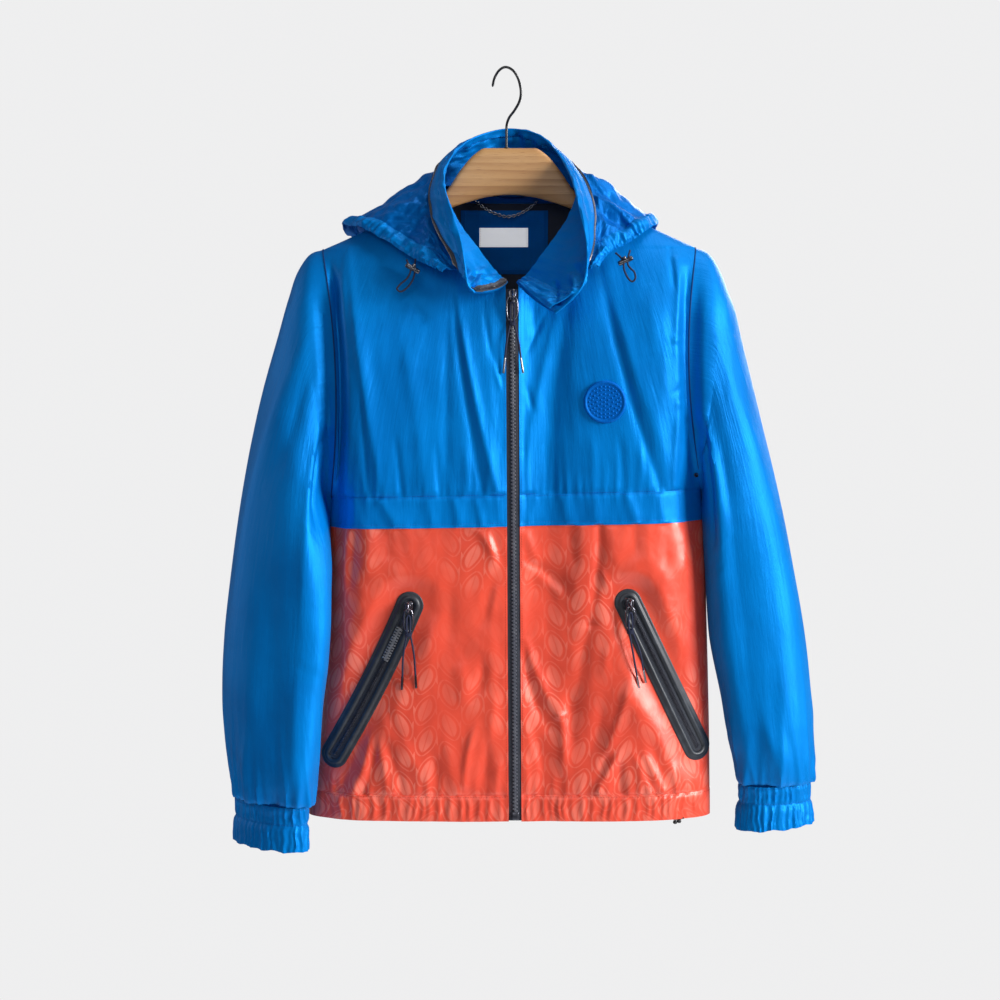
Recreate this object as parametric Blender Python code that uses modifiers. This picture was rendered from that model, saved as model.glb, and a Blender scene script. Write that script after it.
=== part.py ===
"""Hooded windbreaker jacket hanging on a wooden hanger.

Every size in the tables is in millimetres.  x runs across the jacket (the
wearer's left side is +x), y runs from front (-) to back (+), z is the height.
All tables share one datum, the middle of the hanger; DATUM moves it so that the
world origin is the underside of the hook's crown, where the hanger hangs.
"""
import math

import bmesh
import bpy
import numpy as np
from mathutils import Matrix, Vector

# ---------------------------------------------------------------- sizes (mm)
DATUM = np.array([8.0, -2.4, -6.5])
CLOTH = 1.2            # wall of the nylon shell
CASING = 2.0           # doubled cloth of casings, cuffs and collar
SEAM = 0.7             # space between neighbouring pieces
LAY = 2.0              # space under a piece that lies on a panel
BULGE_N = 2.4          # exponent of the body's cross-section
BULGE_LOW = 2.9        # the same below the waist
HEM_Z = -857.0
HEM_TOP = -828.0
WAIST_RT = -490.0      # gather line, wearer's right
WAIST_LT = -481.0
RED_RT = -524.0        # colour change
RED_LT = -516.0
CF_DRIFT = 3.6         # the zip hangs this far towards +x at the hem
ZIP_HALF = 7.2         # half width of the front zip
ZIP_TOP = -252.0
HANGER_THICK = 12.0
HOOK_WIRE = 3.0
CORD = 2.2

# ---------------------------------------------------------------- tables
# shoulder ridge: reach from the middle, height
RIDGE = [(60, -118), (67, -124), (80, -134), (100, -147), (125, -160.5),
         (150, -173), (175, -185), (200, -196.5), (219, -205), (232, -212)]
# neck seam: reach, height at the front, height at the back
NECK = [(0, -248, -142), (5, -247.5, -142), (12, -243.5, -141.5), (22, -233, -140.5),
        (40, -208, -138), (61, -179, -134.5), (73, -154, -133), (80, -134, -134)]
# body depth: height, front, back
DEPTH = [(-120, 8, 34), (-134, 13, 40), (-156, 20, 46), (-182, 31, 50), (-207, 41, 52),
         (-231, 47, 53), (-260, 52, 54), (-300, 57, 55), (-380, 62, 55), (-480, 62, 54),
         (-600, 58, 52), (-720, 55, 50), (-857, 53, 49), (-870, 53, 49)]
# side seam below the armhole: height, reach right side, reach left side
SIDE = [(-480, 209, 219), (-494, 209.2, 220.5), (-520, 211.5, 222.5), (-560, 214.5, 224.5),
        (-620, 216, 226), (-700, 218.5, 228), (-780, 225, 229.5), (-857, 236, 230),
        (-870, 236, 230)]
# armhole ring: side, outer x, outer z, inner x, inner z, half depth, bow front, bow back
ARMHOLE = {
    "rt": dict(ox=-219, oz=-205, ix=-209, iz=-494, half=48, bow_f=13, bow_b=8),
    "lt": dict(ox=213, oz=-203, ix=220, iz=-484, half=48, bow_f=-15, bow_b=-8),
}
# sleeve rings: outer x, outer z, inner x, inner z, y at outer, y at inner, half depth
SLEEVE_RT = [(-236, -213, -211.5, -498, 1, -3, 48.5), (-248, -231, -212, -504, 2, -9, 48.5),
             (-258, -260, -212.5, -512, 3, -16, 48.5), (-270, -305, -213, -522, 4, -25, 48.5),
             (-285, -362, -213, -536, 4, -36, 48.5), (-299, -425, -213, -556, 3, -47, 46),
             (-312, -493, -213, -588, 1, -58, 43), (-323, -565, -213.5, -632, -2, -61, 42),
             (-332, -640, -215, -682, -5, -63, 41), (-335, -700, -220, -726, -8, -64, 40),
             (-332, -758, -223, -772, -10, -64, 40), (-325.5, -806, -227.5, -810, -12, -63, 39),
             (-321, -834, -230, -835, -14, -63, 34)]
SLEEVE_LT = [(230, -212, 223, -488, 1, -1, 48.5), (242, -232, 224.5, -494, 2, -4, 48.5),
             (251.5, -262, 225.5, -502, 3, -8, 48.5), (262.5, -305, 226, -512, 4, -13, 48.5),
             (278, -362, 226.5, -526, 5, -18, 48.5), (293.5, -425, 227, -546, 6, -23, 48.5),
             (309.5, -493, 228, -578, 6, -27, 46), (324.5, -565, 230, -620, 5, -29, 44),
             (337, -640, 234, -670, 3, -29, 43), (343.5, -700, 239, -716, 0, -28, 42),
             (347, -758, 247, -762, -3, -26, 41), (347.5, -796, 256, -796, -5, -23, 38),
             (347, -818, 260, -819, -6, -20, 34)]
CUFF_RT = [(-320.5, -836, -230.5, -837, -14, -62, 32), (-319, -848, -231, -849, -14, -61, 30),
           (-321, -867, -230, -868, -14, -61, 32), (-321.5, -884.5, -229.5, -886.5, -14, -61, 33)]
CUFF_LT = [(346.5, -820, 260.5, -821, -6, -20, 32), (346, -832, 262, -833, -6, -19, 30),
           (348.5, -852, 259, -852, -6, -18, 32), (350, -866, 258, -872.5, -6, -18, 33)]
# collar: station, reach of the neck seam, face, middle x y z, rim x y z
COLLAR = [
    ("F", -5.5, -22, -80, -256, -43, -108, -258),
    ("F", -14, -36, -84, -247, -50, -111, -250),
    ("F", -24, -48, -86, -237, -52, -111, -240),
    ("F", -38, -62, -84, -222, -53.5, -108, -226),
    ("F", -52, -79, -74, -197, -59, -99, -197),
    ("F", -63, -90, -57, -167, -70, -82, -162),
    ("F", -72, -93.5, -37, -141, -77.5, -62, -136),
    ("F", -79.4, -88, -12, -114, -76, -32, -111),
    ("B", -72, -78, 20, -99, -64, 2, -88),
    ("B", -42, -46, 47, -93, -42, 30, -70),
    ("B", -4, -5, 57, -92, -5, 44, -60),
    ("B", 34, 40, 47, -93, 30, 30, -67),
    ("B", 70, 65, 20, -99, 51, 4, -87),
    ("F", 79.4, 76, -12, -114, 65, -30, -115),
    ("F", 74, 89, -35, -139, 72, -58, -138),
    ("F", 65, 92, -57, -167, 77, -82, -165),
    ("F", 52, 89, -75, -197, 83, -99, -197),
    ("F", 38, 80, -86, -224, 83.5, -108, -226),
    ("F", 26, 64, -88, -243, 80, -112, -248),
    ("F", 14, 47, -85, -258, 67, -112, -265),
    ("F", 5.5, 26, -78, -266, 48, -105, -281),
]
# hood: position round the zip (0 front right end .. 1 front left end), mouth edge
# x y z, rise and sag of the cloth between zip and mouth, how far out it swings
HOOD = [
    (0.00, -79, -95, -233, 1, 0, 1), (0.06, -93, -80, -227, 2, 0, 2),
    (0.13, -113, -63, -217, 3, 0, 3), (0.20, -142, -46, -198, 4, 0, 4),
    (0.27, -172, -28, -182, 4, 0, 4), (0.33, -197, 6, -176, 3, 10, 5),
    (0.38, -188, 54, -188, 0, 62, 10), (0.44, -120, 98, -210, 0, 190, 22),
    (0.50, 0, 112, -220, 0, 250, 24), (0.56, 110, 99, -210, 0, 190, 22),
    (0.62, 162, 56, -188, 0, 62, 10), (0.67, 170, 8, -176, 3, 10, 5),
    (0.73, 155, -30, -184, 4, 0, 4), (0.80, 135, -46, -198, 4, 0, 4),
    (0.87, 115, -61, -208, 3, 0, 3), (0.94, 104, -75, -218, 2, 0, 2),
    (1.00, 97, -90, -228, 1, 0, 1),
]
# largest folds of the fronts: x and z where each starts, x and z where it ends,
# width, height (a minus height is a trough)
FOLDS = [
    (-190, -240, -192, -470, 9, 4), (-168, -235, -160, -480, 11, 5),
    (-140, -280, -107, -480, 16, 7), (-100, -300, -68, -480, 13, -6),
    (-60, -290, -20, -470, 11, 6), (45, -300, 24, -430, 11, 7),
    (66, -300, 72, -480, 13, -7), (138, -230, 120, -430, 15, 6),
    (160, -260, 165, -480, 14, -6), (182, -225, 186, -480, 10, 5),
    (-72, -560, -50, -800, 20, 5), (-84, -540, -92, -720, 14, -4),
    (60, -540, 40, -780, 18, 5), (98, -545, 90, -690, 16, -4),
    (-32, -560, -28, -790, 14, -4), (100, -700, 118, -840, 14, 4),
]
# hanger outline: x, z (upper edge from the middle out, lower edge back)
HANGER_UP = [(0, -87), (27, -87), (38, -93), (56, -113), (68, -131), (84, -149),
             (104, -156), (150, -178), (196, -200), (219, -211)]
HANGER_LOW = [(222, -220), (212, -233), (190, -231), (150, -207), (104, -177),
              (66, -156.5), (47, -150), (24, -144), (0, -141.5)]
# hook wire in its own plane: distance along the plane, height
HOOK = [(0, -92), (0, -70), (0.4, -60), (5, -52), (15, -44.5), (23.5, -36), (27, -27.5),
        (26, -18), (21, -7), (11.5, 2.5), (-2, 7.5), (-14, 5), (-23, -3), (-27, -13)]
# pockets: x, z at the upper end and at the lower end
POCKET = {"rt": ((-117, -611), (-203, -784)), "lt": ((131, -608), (212, -776))}
TAPE_HALF = 15.5
SLOT_HALF = 5.6

# ---------------------------------------------------------------- materials
COLOURS = {
    "nylon_blue": ((0.0, 0.165, 0.55), 0.38, 0.0),
    "coated_red": ((0.62, 0.085, 0.045), 0.30, 0.0),
    "lining_navy": ((0.008, 0.012, 0.03), 0.8, 0.0),
    "label_white": ((0.75, 0.75, 0.76), 0.8, 0.0),
    "tape_black": ((0.02, 0.025, 0.035), 0.5, 0.0),
    "zip_dark": ((0.03, 0.035, 0.05), 0.6, 0.0),
    "teeth_silver": ((0.45, 0.45, 0.48), 0.35, 0.8),
    "gunmetal": ((0.12, 0.12, 0.14), 0.3, 1.0),
    "cord_navy": ((0.015, 0.02, 0.05), 0.8, 0.0),
    "rubber_blue": ((0.0, 0.09, 0.36), 0.5, 0.0),
    "wood": ((0.60, 0.36, 0.17), 0.5, 0.0),
    "wire_black": ((0.02, 0.02, 0.022), 0.35, 0.0),
}

for obj in list(bpy.data.objects):
    bpy.data.objects.remove(obj, do_unlink=True)
parts = bpy.data.collections.new("windbreaker_jacket")
bpy.context.scene.collection.children.link(parts)


def material(name):
    mat = bpy.data.materials.get(name)
    if mat is None:
        colour, rough, metal = COLOURS[name]
        mat = bpy.data.materials.new(name)
        mat.use_nodes = True
        bsdf = mat.node_tree.nodes["Principled BSDF"]
        bsdf.inputs["Base Color"].default_value = (*colour, 1.0)
        bsdf.inputs["Roughness"].default_value = rough
        bsdf.inputs["Metallic"].default_value = metal
        mat.diffuse_color = (*colour, 1.0)
    return mat


# ---------------------------------------------------------------- mathematics
def curve(rows, key=0, value=1):
    """Smooth function through table rows (cubic, no overshoot)."""
    pts = sorted((float(r[key]), float(r[value])) for r in rows)
    x = np.array([p[0] for p in pts])
    y = np.array([p[1] for p in pts])
    h = np.diff(x)
    d = np.diff(y) / h
    m = np.zeros(len(x))
    m[0], m[-1] = d[0], d[-1]
    for i in range(1, len(x) - 1):
        if d[i - 1] * d[i] > 0:
            w1, w2 = 2 * h[i] + h[i - 1], h[i] + 2 * h[i - 1]
            m[i] = (w1 + w2) / (w1 / d[i - 1] + w2 / d[i])

    def f(t):
        t = min(max(float(t), x[0]), x[-1])
        i = min(int(np.searchsorted(x, t, side="right")) - 1, len(x) - 2)
        s = (t - x[i]) / h[i]
        return ((1 + 2 * s) * (1 - s) ** 2 * y[i] + s * (1 - s) ** 2 * h[i] * m[i]
                + s * s * (3 - 2 * s) * y[i + 1] + s * s * (s - 1) * h[i] * m[i + 1])
    return f


def through(points, t):
    """Point at t (0..1) on a smooth curve through the points."""
    p = np.asarray(points, float)
    n = len(p) - 1
    s = min(max(t, 0.0), 1.0) * n
    i = min(int(s), n - 1)
    u = s - i
    a = p[i - 1] if i > 0 else 2 * p[0] - p[1]
    b, c = p[i], p[i + 1]
    d = p[i + 2] if i + 2 <= n else 2 * p[n] - p[n - 1]
    return 0.5 * (2 * b + (c - a) * u + (2 * a - 5 * b + 4 * c - d) * u * u
                  + (3 * b - a - 3 * c + d) * u ** 3)


def lerp(a, b, t):
    return a + (b - a) * t


ridge_z = curve(RIDGE, 0, 1)
ridge_x = curve(RIDGE, 1, 0)
neck_f = curve(NECK, 0, 1)
neck_b = curve(NECK, 0, 2)
depth_f = curve(DEPTH, 0, 1)
depth_b = curve(DEPTH, 0, 2)
side_reach = {"rt": curve(SIDE, 0, 1), "lt": curve(SIDE, 0, 2)}


def arm_edge(side, face, z):
    """Reach and depth of the armhole seam at height z."""
    a = ARMHOLE[side]
    mid, half = (a["oz"] + a["iz"]) / 2, (a["oz"] - a["iz"]) / 2
    c = min(max((z - mid) / half, -1.0), 1.0)
    s = math.sqrt(max(1 - c * c, 0.0))
    t = (1 - c) / 2
    bow = a["bow_f"] if face == "F" else a["bow_b"]
    x = lerp(a["ox"], a["ix"], t) + bow * s * s
    return abs(x), a["half"] * s ** (2 / 2.2)


def section(side, face, z):
    """Depth in the middle and half width of the body's cross-section at z."""
    a = ARMHOLE[side]
    d = depth_f(z) if face == "F" else depth_b(z)
    if z >= a["oz"]:
        return d, ridge_x(z)
    if z > a["iz"]:
        reach, r0 = arm_edge(side, face, z)
        k = min(r0 / d, 0.97) ** BULGE_N
        return d, reach / (1 - k) ** (1 / BULGE_N)
    return d, side_reach[side](z)


def bulge(z):
    """Exponent of the cross-section: fuller at the sides below the waist."""
    k = min(max((-496 - z) / 90, 0.0), 1.0)
    return lerp(BULGE_N, BULGE_LOW, k * k * (3 - 2 * k))


def folds(x, z):
    h = 0.0
    for x0, z0, x1, z1, w, amp in FOLDS:
        t = (z0 - z) / (z0 - z1)
        if -0.1 < t < 1.1:
            win = max(0.0, min(1.0, min(t + 0.1, 1.1 - t) / 0.25))
            xc = lerp(x0, x1, t)
            h += amp * win * win * (3 - 2 * win) * math.exp(-((x - xc) / w) ** 2)
    return h


def body_point(side, face, x, z, out=0.0):
    """Point of the body's outer surface; out moves it off the cloth."""
    d, reach = section(side, face, z)
    r = min(abs(x) / reach, 1.0)
    n = bulge(z)
    e = (1 - r ** n) ** (1 / n) if r < 1 else 0.0
    sign = -1 if face == "F" else 1
    ripple = folds(x, z) if face == "F" else 0.5 * folds(-x * 0.9 + 11, z)
    y = sign * (d * e + ripple * min(1.0, e * 1.6) * min(1.0, max(0.0, (1 - r) * 9)))
    drift = CF_DRIFT * min(1.0, max(0.0, (-250 - z) / 600)) * max(0.0, 1 - abs(x) / 190)
    p = np.array([x + (drift if face == "F" else 0.0), y, z])
    return p if not out else p + out * normal(side, face, x, z)


def normal(side, face, x, z):
    e = 1.5
    sign = -1 if face == "F" else 1
    px = body_point(side, face, x + e, z) - body_point(side, face, x - e, z)
    pz = body_point(side, face, x, z + e) - body_point(side, face, x, z - e)
    n = np.cross(px, pz)
    n = n / np.linalg.norm(n)
    return n if n[1] * sign > 0 else -n


def edge_reach(side, face, z):
    a = ARMHOLE[side]
    if z > a["iz"]:
        return arm_edge(side, face, min(z, a["oz"]))[0]
    return side_reach[side](z)


# ---------------------------------------------------------------- mesh helpers
def to_world(p):
    return (np.asarray(p, float) + DATUM) * 0.001


def link(obj, mat):
    if obj.name not in parts.objects:
        parts.objects.link(obj)
    obj.data.materials.clear()
    obj.data.materials.append(material(mat))
    return obj


def wall(name, grid, thick, mat, closed=False, offset=-1.0):
    """Cloth wall: grid[i][j] of points on its outer face, thickness inward."""
    nu, nv = len(grid), len(grid[0])
    mesh = bpy.data.meshes.new(name)
    verts = [tuple(to_world(p)) for col in grid for p in col]
    faces = []
    for i in range(nu if closed else nu - 1):
        k = (i + 1) % nu
        for j in range(nv - 1):
            faces.append((i * nv + j, i * nv + j + 1, k * nv + j + 1, k * nv + j))
    mesh.from_pydata(verts, [], faces)
    mesh.validate()
    mesh.shade_smooth()
    obj = bpy.data.objects.new(name, mesh)
    mod = obj.modifiers.new("cloth_wall", "SOLIDIFY")
    mod.thickness = thick * 0.001
    mod.offset = offset
    mod.use_even_offset = False
    return link(obj, mat)


def tube(name, points, radius, mat, res=2, closed=False):
    cu = bpy.data.curves.new(name, "CURVE")
    cu.dimensions = "3D"
    cu.bevel_depth = radius * 0.001
    cu.bevel_resolution = res
    cu.use_fill_caps = not closed
    sp = cu.splines.new("POLY")
    sp.points.add(len(points) - 1)
    for q, p in zip(sp.points, points):
        q.co = (*to_world(p), 1.0)
    sp.use_cyclic_u = closed
    obj = bpy.data.objects.new(name, cu)
    parts.objects.link(obj)
    cu.materials.append(material(mat))
    return obj


def smooth_route(points, n):
    return [through(points, i / (n - 1)) for i in range(n)]


def block(name, centre, size, mat, rot=None, bevel=0.4):
    """Hard piece: a box with rounded edges, turned by a matrix about its middle."""
    bm = bmesh.new()
    bmesh.ops.create_cube(bm, size=1.0)
    for v in bm.verts:
        v.co = Vector((v.co.x * size[0], v.co.y * size[1], v.co.z * size[2])) * 0.001
    mesh = bpy.data.meshes.new(name)
    bm.to_mesh(mesh)
    bm.free()
    obj = bpy.data.objects.new(name, mesh)
    obj.matrix_world = Matrix.Translation(to_world(centre)) @ (rot or Matrix.Identity(4))
    if bevel:
        mod = obj.modifiers.new("rounded", "BEVEL")
        mod.width = bevel * 0.001
        mod.segments = 2
    mesh.shade_smooth()
    mesh.set_sharp_from_angle(angle=math.radians(40))
    return link(obj, mat)


def frame_from(tangent, out):
    """Rotation whose Z runs along the tangent and whose Y points into the cloth."""
    z = Vector(tangent).normalized()
    y = -Vector(out)
    y = (y - z * y.dot(z)).normalized()
    x = y.cross(z)
    return Matrix((x, y, z)).transposed().to_4x4()


# ---------------------------------------------------------------- body panels
SIDES = ("rt", "lt")
SIGN = {"rt": -1, "lt": 1}
WAIST = {"rt": WAIST_RT, "lt": WAIST_LT}
RED = {"rt": RED_RT, "lt": RED_LT}


def line_z(side, table, x):
    """Height of a line that runs a little downhill towards the wearer's right."""
    return lerp(table["rt"], table["lt"], 0.5 + 0.5 * max(-1.0, min(1.0, x / 210)))


def upper_grid(side, face, nu, nv, x_in):
    s = SIGN[side]
    a = ARMHOLE[side]
    shoulder = abs(a["ox"]) - SEAM
    grid = []
    for i in range(nu + 1):
        u = i / nu
        top_x = lerp(x_in, shoulder, u)
        neck = neck_f if face == "F" else neck_b
        top_z = (neck(top_x) if top_x < 80 else ridge_z(top_x)) - SEAM * 0.6
        col = []
        for j in range(nv + 1):
            v = (j / nv) ** 1.6
            x_bot = lerp(x_in, edge_reach(side, face, WAIST[side]) - 0.35, u)
            bot_z = line_z(side, WAIST, s * x_bot) + SEAM * 0.5
            z_e = lerp(a["oz"] - SEAM * 0.6, bot_z, v)
            x = lerp(x_in, edge_reach(side, face, z_e) - SEAM, u)
            z = lerp(top_z, bot_z, v)
            # near the shoulder line the cloth stays under the ridge
            x = min(x, ridge_x(z) - 0.2) if z > a["oz"] else x
            p = body_point(side, face, s * x, z)
            if j == 0 and top_x >= 80:
                p[1] = -0.5 if face == "F" else 0.5
            col.append(p)
        grid.append(col)
    return grid


def strip_grid(side, face, nu, nv, x_in, top, bottom, out=0.0, side_gap=0.5):
    s = SIGN[side]
    grid = []
    for i in range(nu + 1):
        u = i / nu
        u = 1 - (1 - u) ** 1.25
        col = []
        for j in range(nv + 1):
            v = j / nv
            z_e = lerp(top(1e3 * s), bottom(1e3 * s), v)
            x = lerp(x_in, edge_reach(side, face, z_e) - 0.5, u)
            z = lerp(top(s * x), bottom(s * x), v)
            p = body_point(side, face, s * x, z, out if u < 0.97 else 0.0)
            if i == nu:
                p[1] = -side_gap if face == "F" else side_gap
            col.append(p)
        grid.append(col)
    return grid


def join_backs(make):
    """Back panels run right across: one grid from the right edge to the left."""
    rt = make("rt")
    lt = make("lt")
    return [list(c) for c in reversed(rt)] + [list(c) for c in lt[1:]]


for side in SIDES:
    wall("front_upper_" + side, upper_grid(side, "F", 11, 11, ZIP_HALF + 0.4), CLOTH, "nylon_blue",
         offset=-1.0 if side == "rt" else 1.0)
    wall("front_band_" + side,
         strip_grid(side, "F", 12, 1, ZIP_HALF + 0.4,
                    lambda x: line_z(side, WAIST, x) - SEAM * 0.5,
                    lambda x: line_z(side, RED, x) + SEAM * 0.5), CLOTH, "nylon_blue",
         offset=-1.0 if side == "rt" else 1.0)
    wall("front_lower_" + side,
         strip_grid(side, "F", 12, 8, ZIP_HALF + 0.4,
                    lambda x: line_z(side, RED, x) - SEAM * 0.5,
                    lambda x: HEM_TOP + SEAM * 0.5), CLOTH, "coated_red",
         offset=-1.0 if side == "rt" else 1.0)
    wall("hem_front_" + side,
         strip_grid(side, "F", 12, 1, ZIP_HALF + 0.4,
                    lambda x: HEM_TOP - SEAM * 0.5, lambda x: HEM_Z, 0.0), CASING, "coated_red",
         offset=-1.0 if side == "rt" else 1.0)

wall("back_upper", join_backs(lambda s: upper_grid(s, "B", 8, 9, 0.0)), CLOTH, "nylon_blue", offset=1.0)
wall("back_band", join_backs(lambda s: strip_grid(s, "B", 10, 1, 0.0,
     lambda x: line_z(s, WAIST, x) - SEAM * 0.5, lambda x: line_z(s, RED, x) + SEAM * 0.5)),
     CLOTH, "nylon_blue", offset=1.0)
wall("back_lower", join_backs(lambda s: strip_grid(s, "B", 10, 5, 0.0,
     lambda x: line_z(s, RED, x) - SEAM * 0.5, lambda x: HEM_TOP + SEAM * 0.5)),
     CLOTH, "coated_red", offset=1.0)
wall("hem_back", join_backs(lambda s: strip_grid(s, "B", 10, 1, 0.0,
     lambda x: HEM_TOP - SEAM * 0.5, lambda x: HEM_Z)), CASING, "coated_red", offset=1.0)


# ---------------------------------------------------------------- sleeves
def ring(row, n, power=2.15):
    ox, oz, ix, iz, yo, yi, half = row
    o, i = np.array([ox, yo, oz], float), np.array([ix, yi, iz], float)
    c, h = (o + i) / 2, (o - i) / 2
    plan = np.array([0.0, -1.0, 0.0])
    pts = []
    for k in range(n):
        t = 2 * math.pi * k / n
        ct, st = math.cos(t), math.sin(t)
        pts.append(c + h * math.copysign(abs(ct) ** (2 / power), ct)
                   + plan * half * math.copysign(abs(st) ** (2 / power), st))
    return pts


def arm_ring(side, n):
    """First ring of the sleeve: the armhole seam, a hair outside the body."""
    a = ARMHOLE[side]
    s = SIGN[side]
    pts = []
    for k in range(n):
        t = 2 * math.pi * k / n
        ct, st = math.cos(t), math.sin(t)
        c = math.copysign(abs(ct) ** (2 / 2.15), ct)
        z = (a["oz"] + a["iz"]) / 2 + (a["oz"] - a["iz"]) / 2 * c
        face = "F" if st >= 0 else "B"
        x, d = arm_edge(side, face, z)
        pts.append(np.array([s * (x + 0.35), -d if face == "F" else d, z]))
    return pts


def sleeve_grid(side, rows, n):
    rings = [arm_ring(side, n)] + [ring(r, n) for r in rows]
    return [[rings[j][k] for j in range(len(rings))] for k in range(n)]


for side, rows, cuff in (("rt", SLEEVE_RT, CUFF_RT), ("lt", SLEEVE_LT, CUFF_LT)):
    wall("sleeve_" + side, sleeve_grid(side, rows, 18), CLOTH, "nylon_blue", closed=True,
         offset=1.0 if side == "lt" else -1.0)
    rings = [ring(r, 18) for r in cuff]
    wall("cuff_" + side, [[rings[j][k] for j in range(len(rings))] for k in range(18)],
         CASING, "nylon_blue", closed=True, offset=1.0 if side == "lt" else -1.0)


# ---------------------------------------------------------------- collar
def collar_stations():
    """Neck seam, middle and rim points of every station of the collar."""
    cols = []
    for face, reach, mx, my, mz, rx, ry, rz in COLLAR:
        side = "rt" if reach < 0 else "lt"
        z = neck_f(abs(reach)) if face == "F" else neck_b(abs(reach))
        seam = body_point(side, face, reach, z - 0.5)
        seam = seam + np.array([0, -1.2 if face == "F" else 0.5, 2.2])
        cols.append((seam, np.array([mx, my, mz], float), np.array([rx, ry, rz], float)))
    return [[c[k] for c in cols] for k in range(3)]


STATIONS = collar_stations()


def collar_row(t):
    """Neck seam, middle and rim of the collar at t (0 right end .. 1 left end)."""
    return [through(STATIONS[k], t) for k in range(3)]


def collar_point(t, v, out=0.0):
    """v 0 at the neck seam, 0.55 at the hood zip, 1 at the rim."""
    s, m, r = collar_row(t)
    vm = 0.55
    a = s * (v - vm) * (v - 1) / (vm) + m * v * (v - 1) / (vm * (vm - 1)) + r * v * (v - vm) / (1 - vm)
    if out:
        e = 0.004
        du = collar_point(min(t + e, 1), v) - collar_point(max(t - e, 0), v)
        dv = collar_point(t, min(v + 0.03, 1)) - collar_point(t, max(v - 0.03, 0))
        n = np.cross(dv, du)
        a = a + out * n / np.linalg.norm(n)
    return a


def out_dir(t, v):
    return collar_point(t, v, 1.0) - collar_point(t, v)


NCOL = 40
wall("collar", [[collar_point(i / NCOL, j / 4) for j in range(5)] for i in range(NCOL + 1)],
     CASING, "nylon_blue", offset=-1.0)


# zip ends of the collar's two fronts
def end_strip(t0, t1, v0, v1, nt, nv, out):
    return [[collar_point(lerp(t0, t1, i / nt), lerp(v0, v1, j / nv), out) for j in range(nv + 1)]
            for i in range(nt + 1)]


wall("collar_zip_rt", end_strip(0.004, 0.030, 0.10, 0.97, 1, 6, -LAY - 0.5 - CASING), 1.6, "zip_dark", offset=1.0)
wall("collar_guard_lt", end_strip(0.945, 0.998, 0.10, 0.97, 2, 6, -LAY - 0.5 - CASING), 1.4, "nylon_blue", offset=1.0)

# ---------------------------------------------------------------- hood
Z0, Z1 = 0.135, 0.865          # where the hood zip starts and ends on the collar
HOOD_T = [r[0] for r in HOOD]


def hood_row(t, k):
    """Column k of the hood table at t."""
    return through_table(t, k)


def through_table(t, k):
    i = 0
    while i < len(HOOD) - 2 and t > HOOD_T[i + 1]:
        i += 1
    u = (t - HOOD_T[i]) / (HOOD_T[i + 1] - HOOD_T[i])
    a = HOOD[max(i - 1, 0)]
    b, c = HOOD[i], HOOD[i + 1]
    d = HOOD[min(i + 2, len(HOOD) - 1)]
    mb = (c[k] - a[k]) / (c[0] - a[0]) * (c[0] - b[0])
    mc = (d[k] - b[k]) / (d[0] - b[0]) * (c[0] - b[0])
    return ((1 + 2 * u) * (1 - u) ** 2 * b[k] + u * (1 - u) ** 2 * mb
            + u * u * (3 - 2 * u) * c[k] + u * u * (u - 1) * mc)


def clear_of_body(p, gap):
    x, y, z = p
    side = "rt" if x < 0 else "lt"
    top = ridge_z(abs(x)) if abs(x) > 62 else -110.0
    if z > top + gap or abs(x) > abs(ARMHOLE[side]["ox"]) + 10:
        return p
    face = "F" if y < 0 else "B"
    if face == "B" and abs(x) < 80 and z > neck_b(abs(x)):
        return p
    d, reach = section(side, face, min(z, top - 0.5))
    r = min(abs(x) / reach, 1.0)
    base = d * (1 - r ** BULGE_N) ** (1 / BULGE_N) + (4.0 if face == "B" else 5.0)
    if abs(y) < base + gap:
        return np.array([x, (base + gap) * (-1 if face == "F" else 1), z])
    return p


def zip_v(tc):
    """Height of the hood zip on the collar: lower at the sides and the back."""
    k = min(max((0.36 - abs(tc - 0.5)) / 0.16, 0.0), 1.0)
    return 0.68 - 0.19 * k * k * (3 - 2 * k)


def hood_point(t, v):
    """v 0 at the hood zip, 1 at the mouth edge."""
    tc = lerp(Z0, Z1, t)
    start = collar_point(tc, zip_v(tc) - 0.13, 4.6)
    away = out_dir(tc, zip_v(tc) - 0.13)
    e = np.array([hood_row(t, 1), hood_row(t, 2), hood_row(t, 3)])
    rise, sag, swing = hood_row(t, 4), hood_row(t, 5), hood_row(t, 6)
    chord = e - start
    down = np.array([0, 0, -1.0])
    back = np.array([0, 1.0, 0])
    k = min(1.0, max(0.0, sag) / 120)
    h0 = start + chord * (0.33 - 0.28 * k) + away * swing * 0.4 - down * rise * 0.8 + down * sag * 1.30
    h1 = e - chord * (0.33 - 0.28 * k) - down * rise * 0.9 + down * sag * 1.05 + back * swing * k
    p = ((1 - v) ** 3 * start + 3 * v * (1 - v) ** 2 * h0 + 3 * v * v * (1 - v) * h1 + v ** 3 * e)
    return clear_of_body(p, 4.0)


CHANNEL = 13.0


def hood_split(t):
    """v at which the drawcord channel starts, measured back from the mouth edge."""
    pts = [hood_point(t, 1 - 0.02 * i) for i in range(30)]
    run = 0.0
    for i in range(1, 30):
        step = np.linalg.norm(pts[i] - pts[i - 1])
        if run + step >= CHANNEL:
            return 1 - 0.02 * (i - 1 + (CHANNEL - run) / step)
        run += step
    return 0.45


def hood_grid(t0, t1, nt, nv, channel=False):
    grid = []
    for i in range(nt + 1):
        t = lerp(t0, t1, i / nt)
        vs = hood_split(t)
        speed = np.linalg.norm(hood_point(t, vs) - hood_point(t, vs - 0.01)) / 0.01
        gap = 1.25 / max(speed, 20.0)
        a, b = (vs + gap, 1.0) if channel else (0.0, vs - gap)
        grid.append([hood_point(t, lerp(a, b, j / nv)) for j in range(nv + 1)])
    return grid


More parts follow.
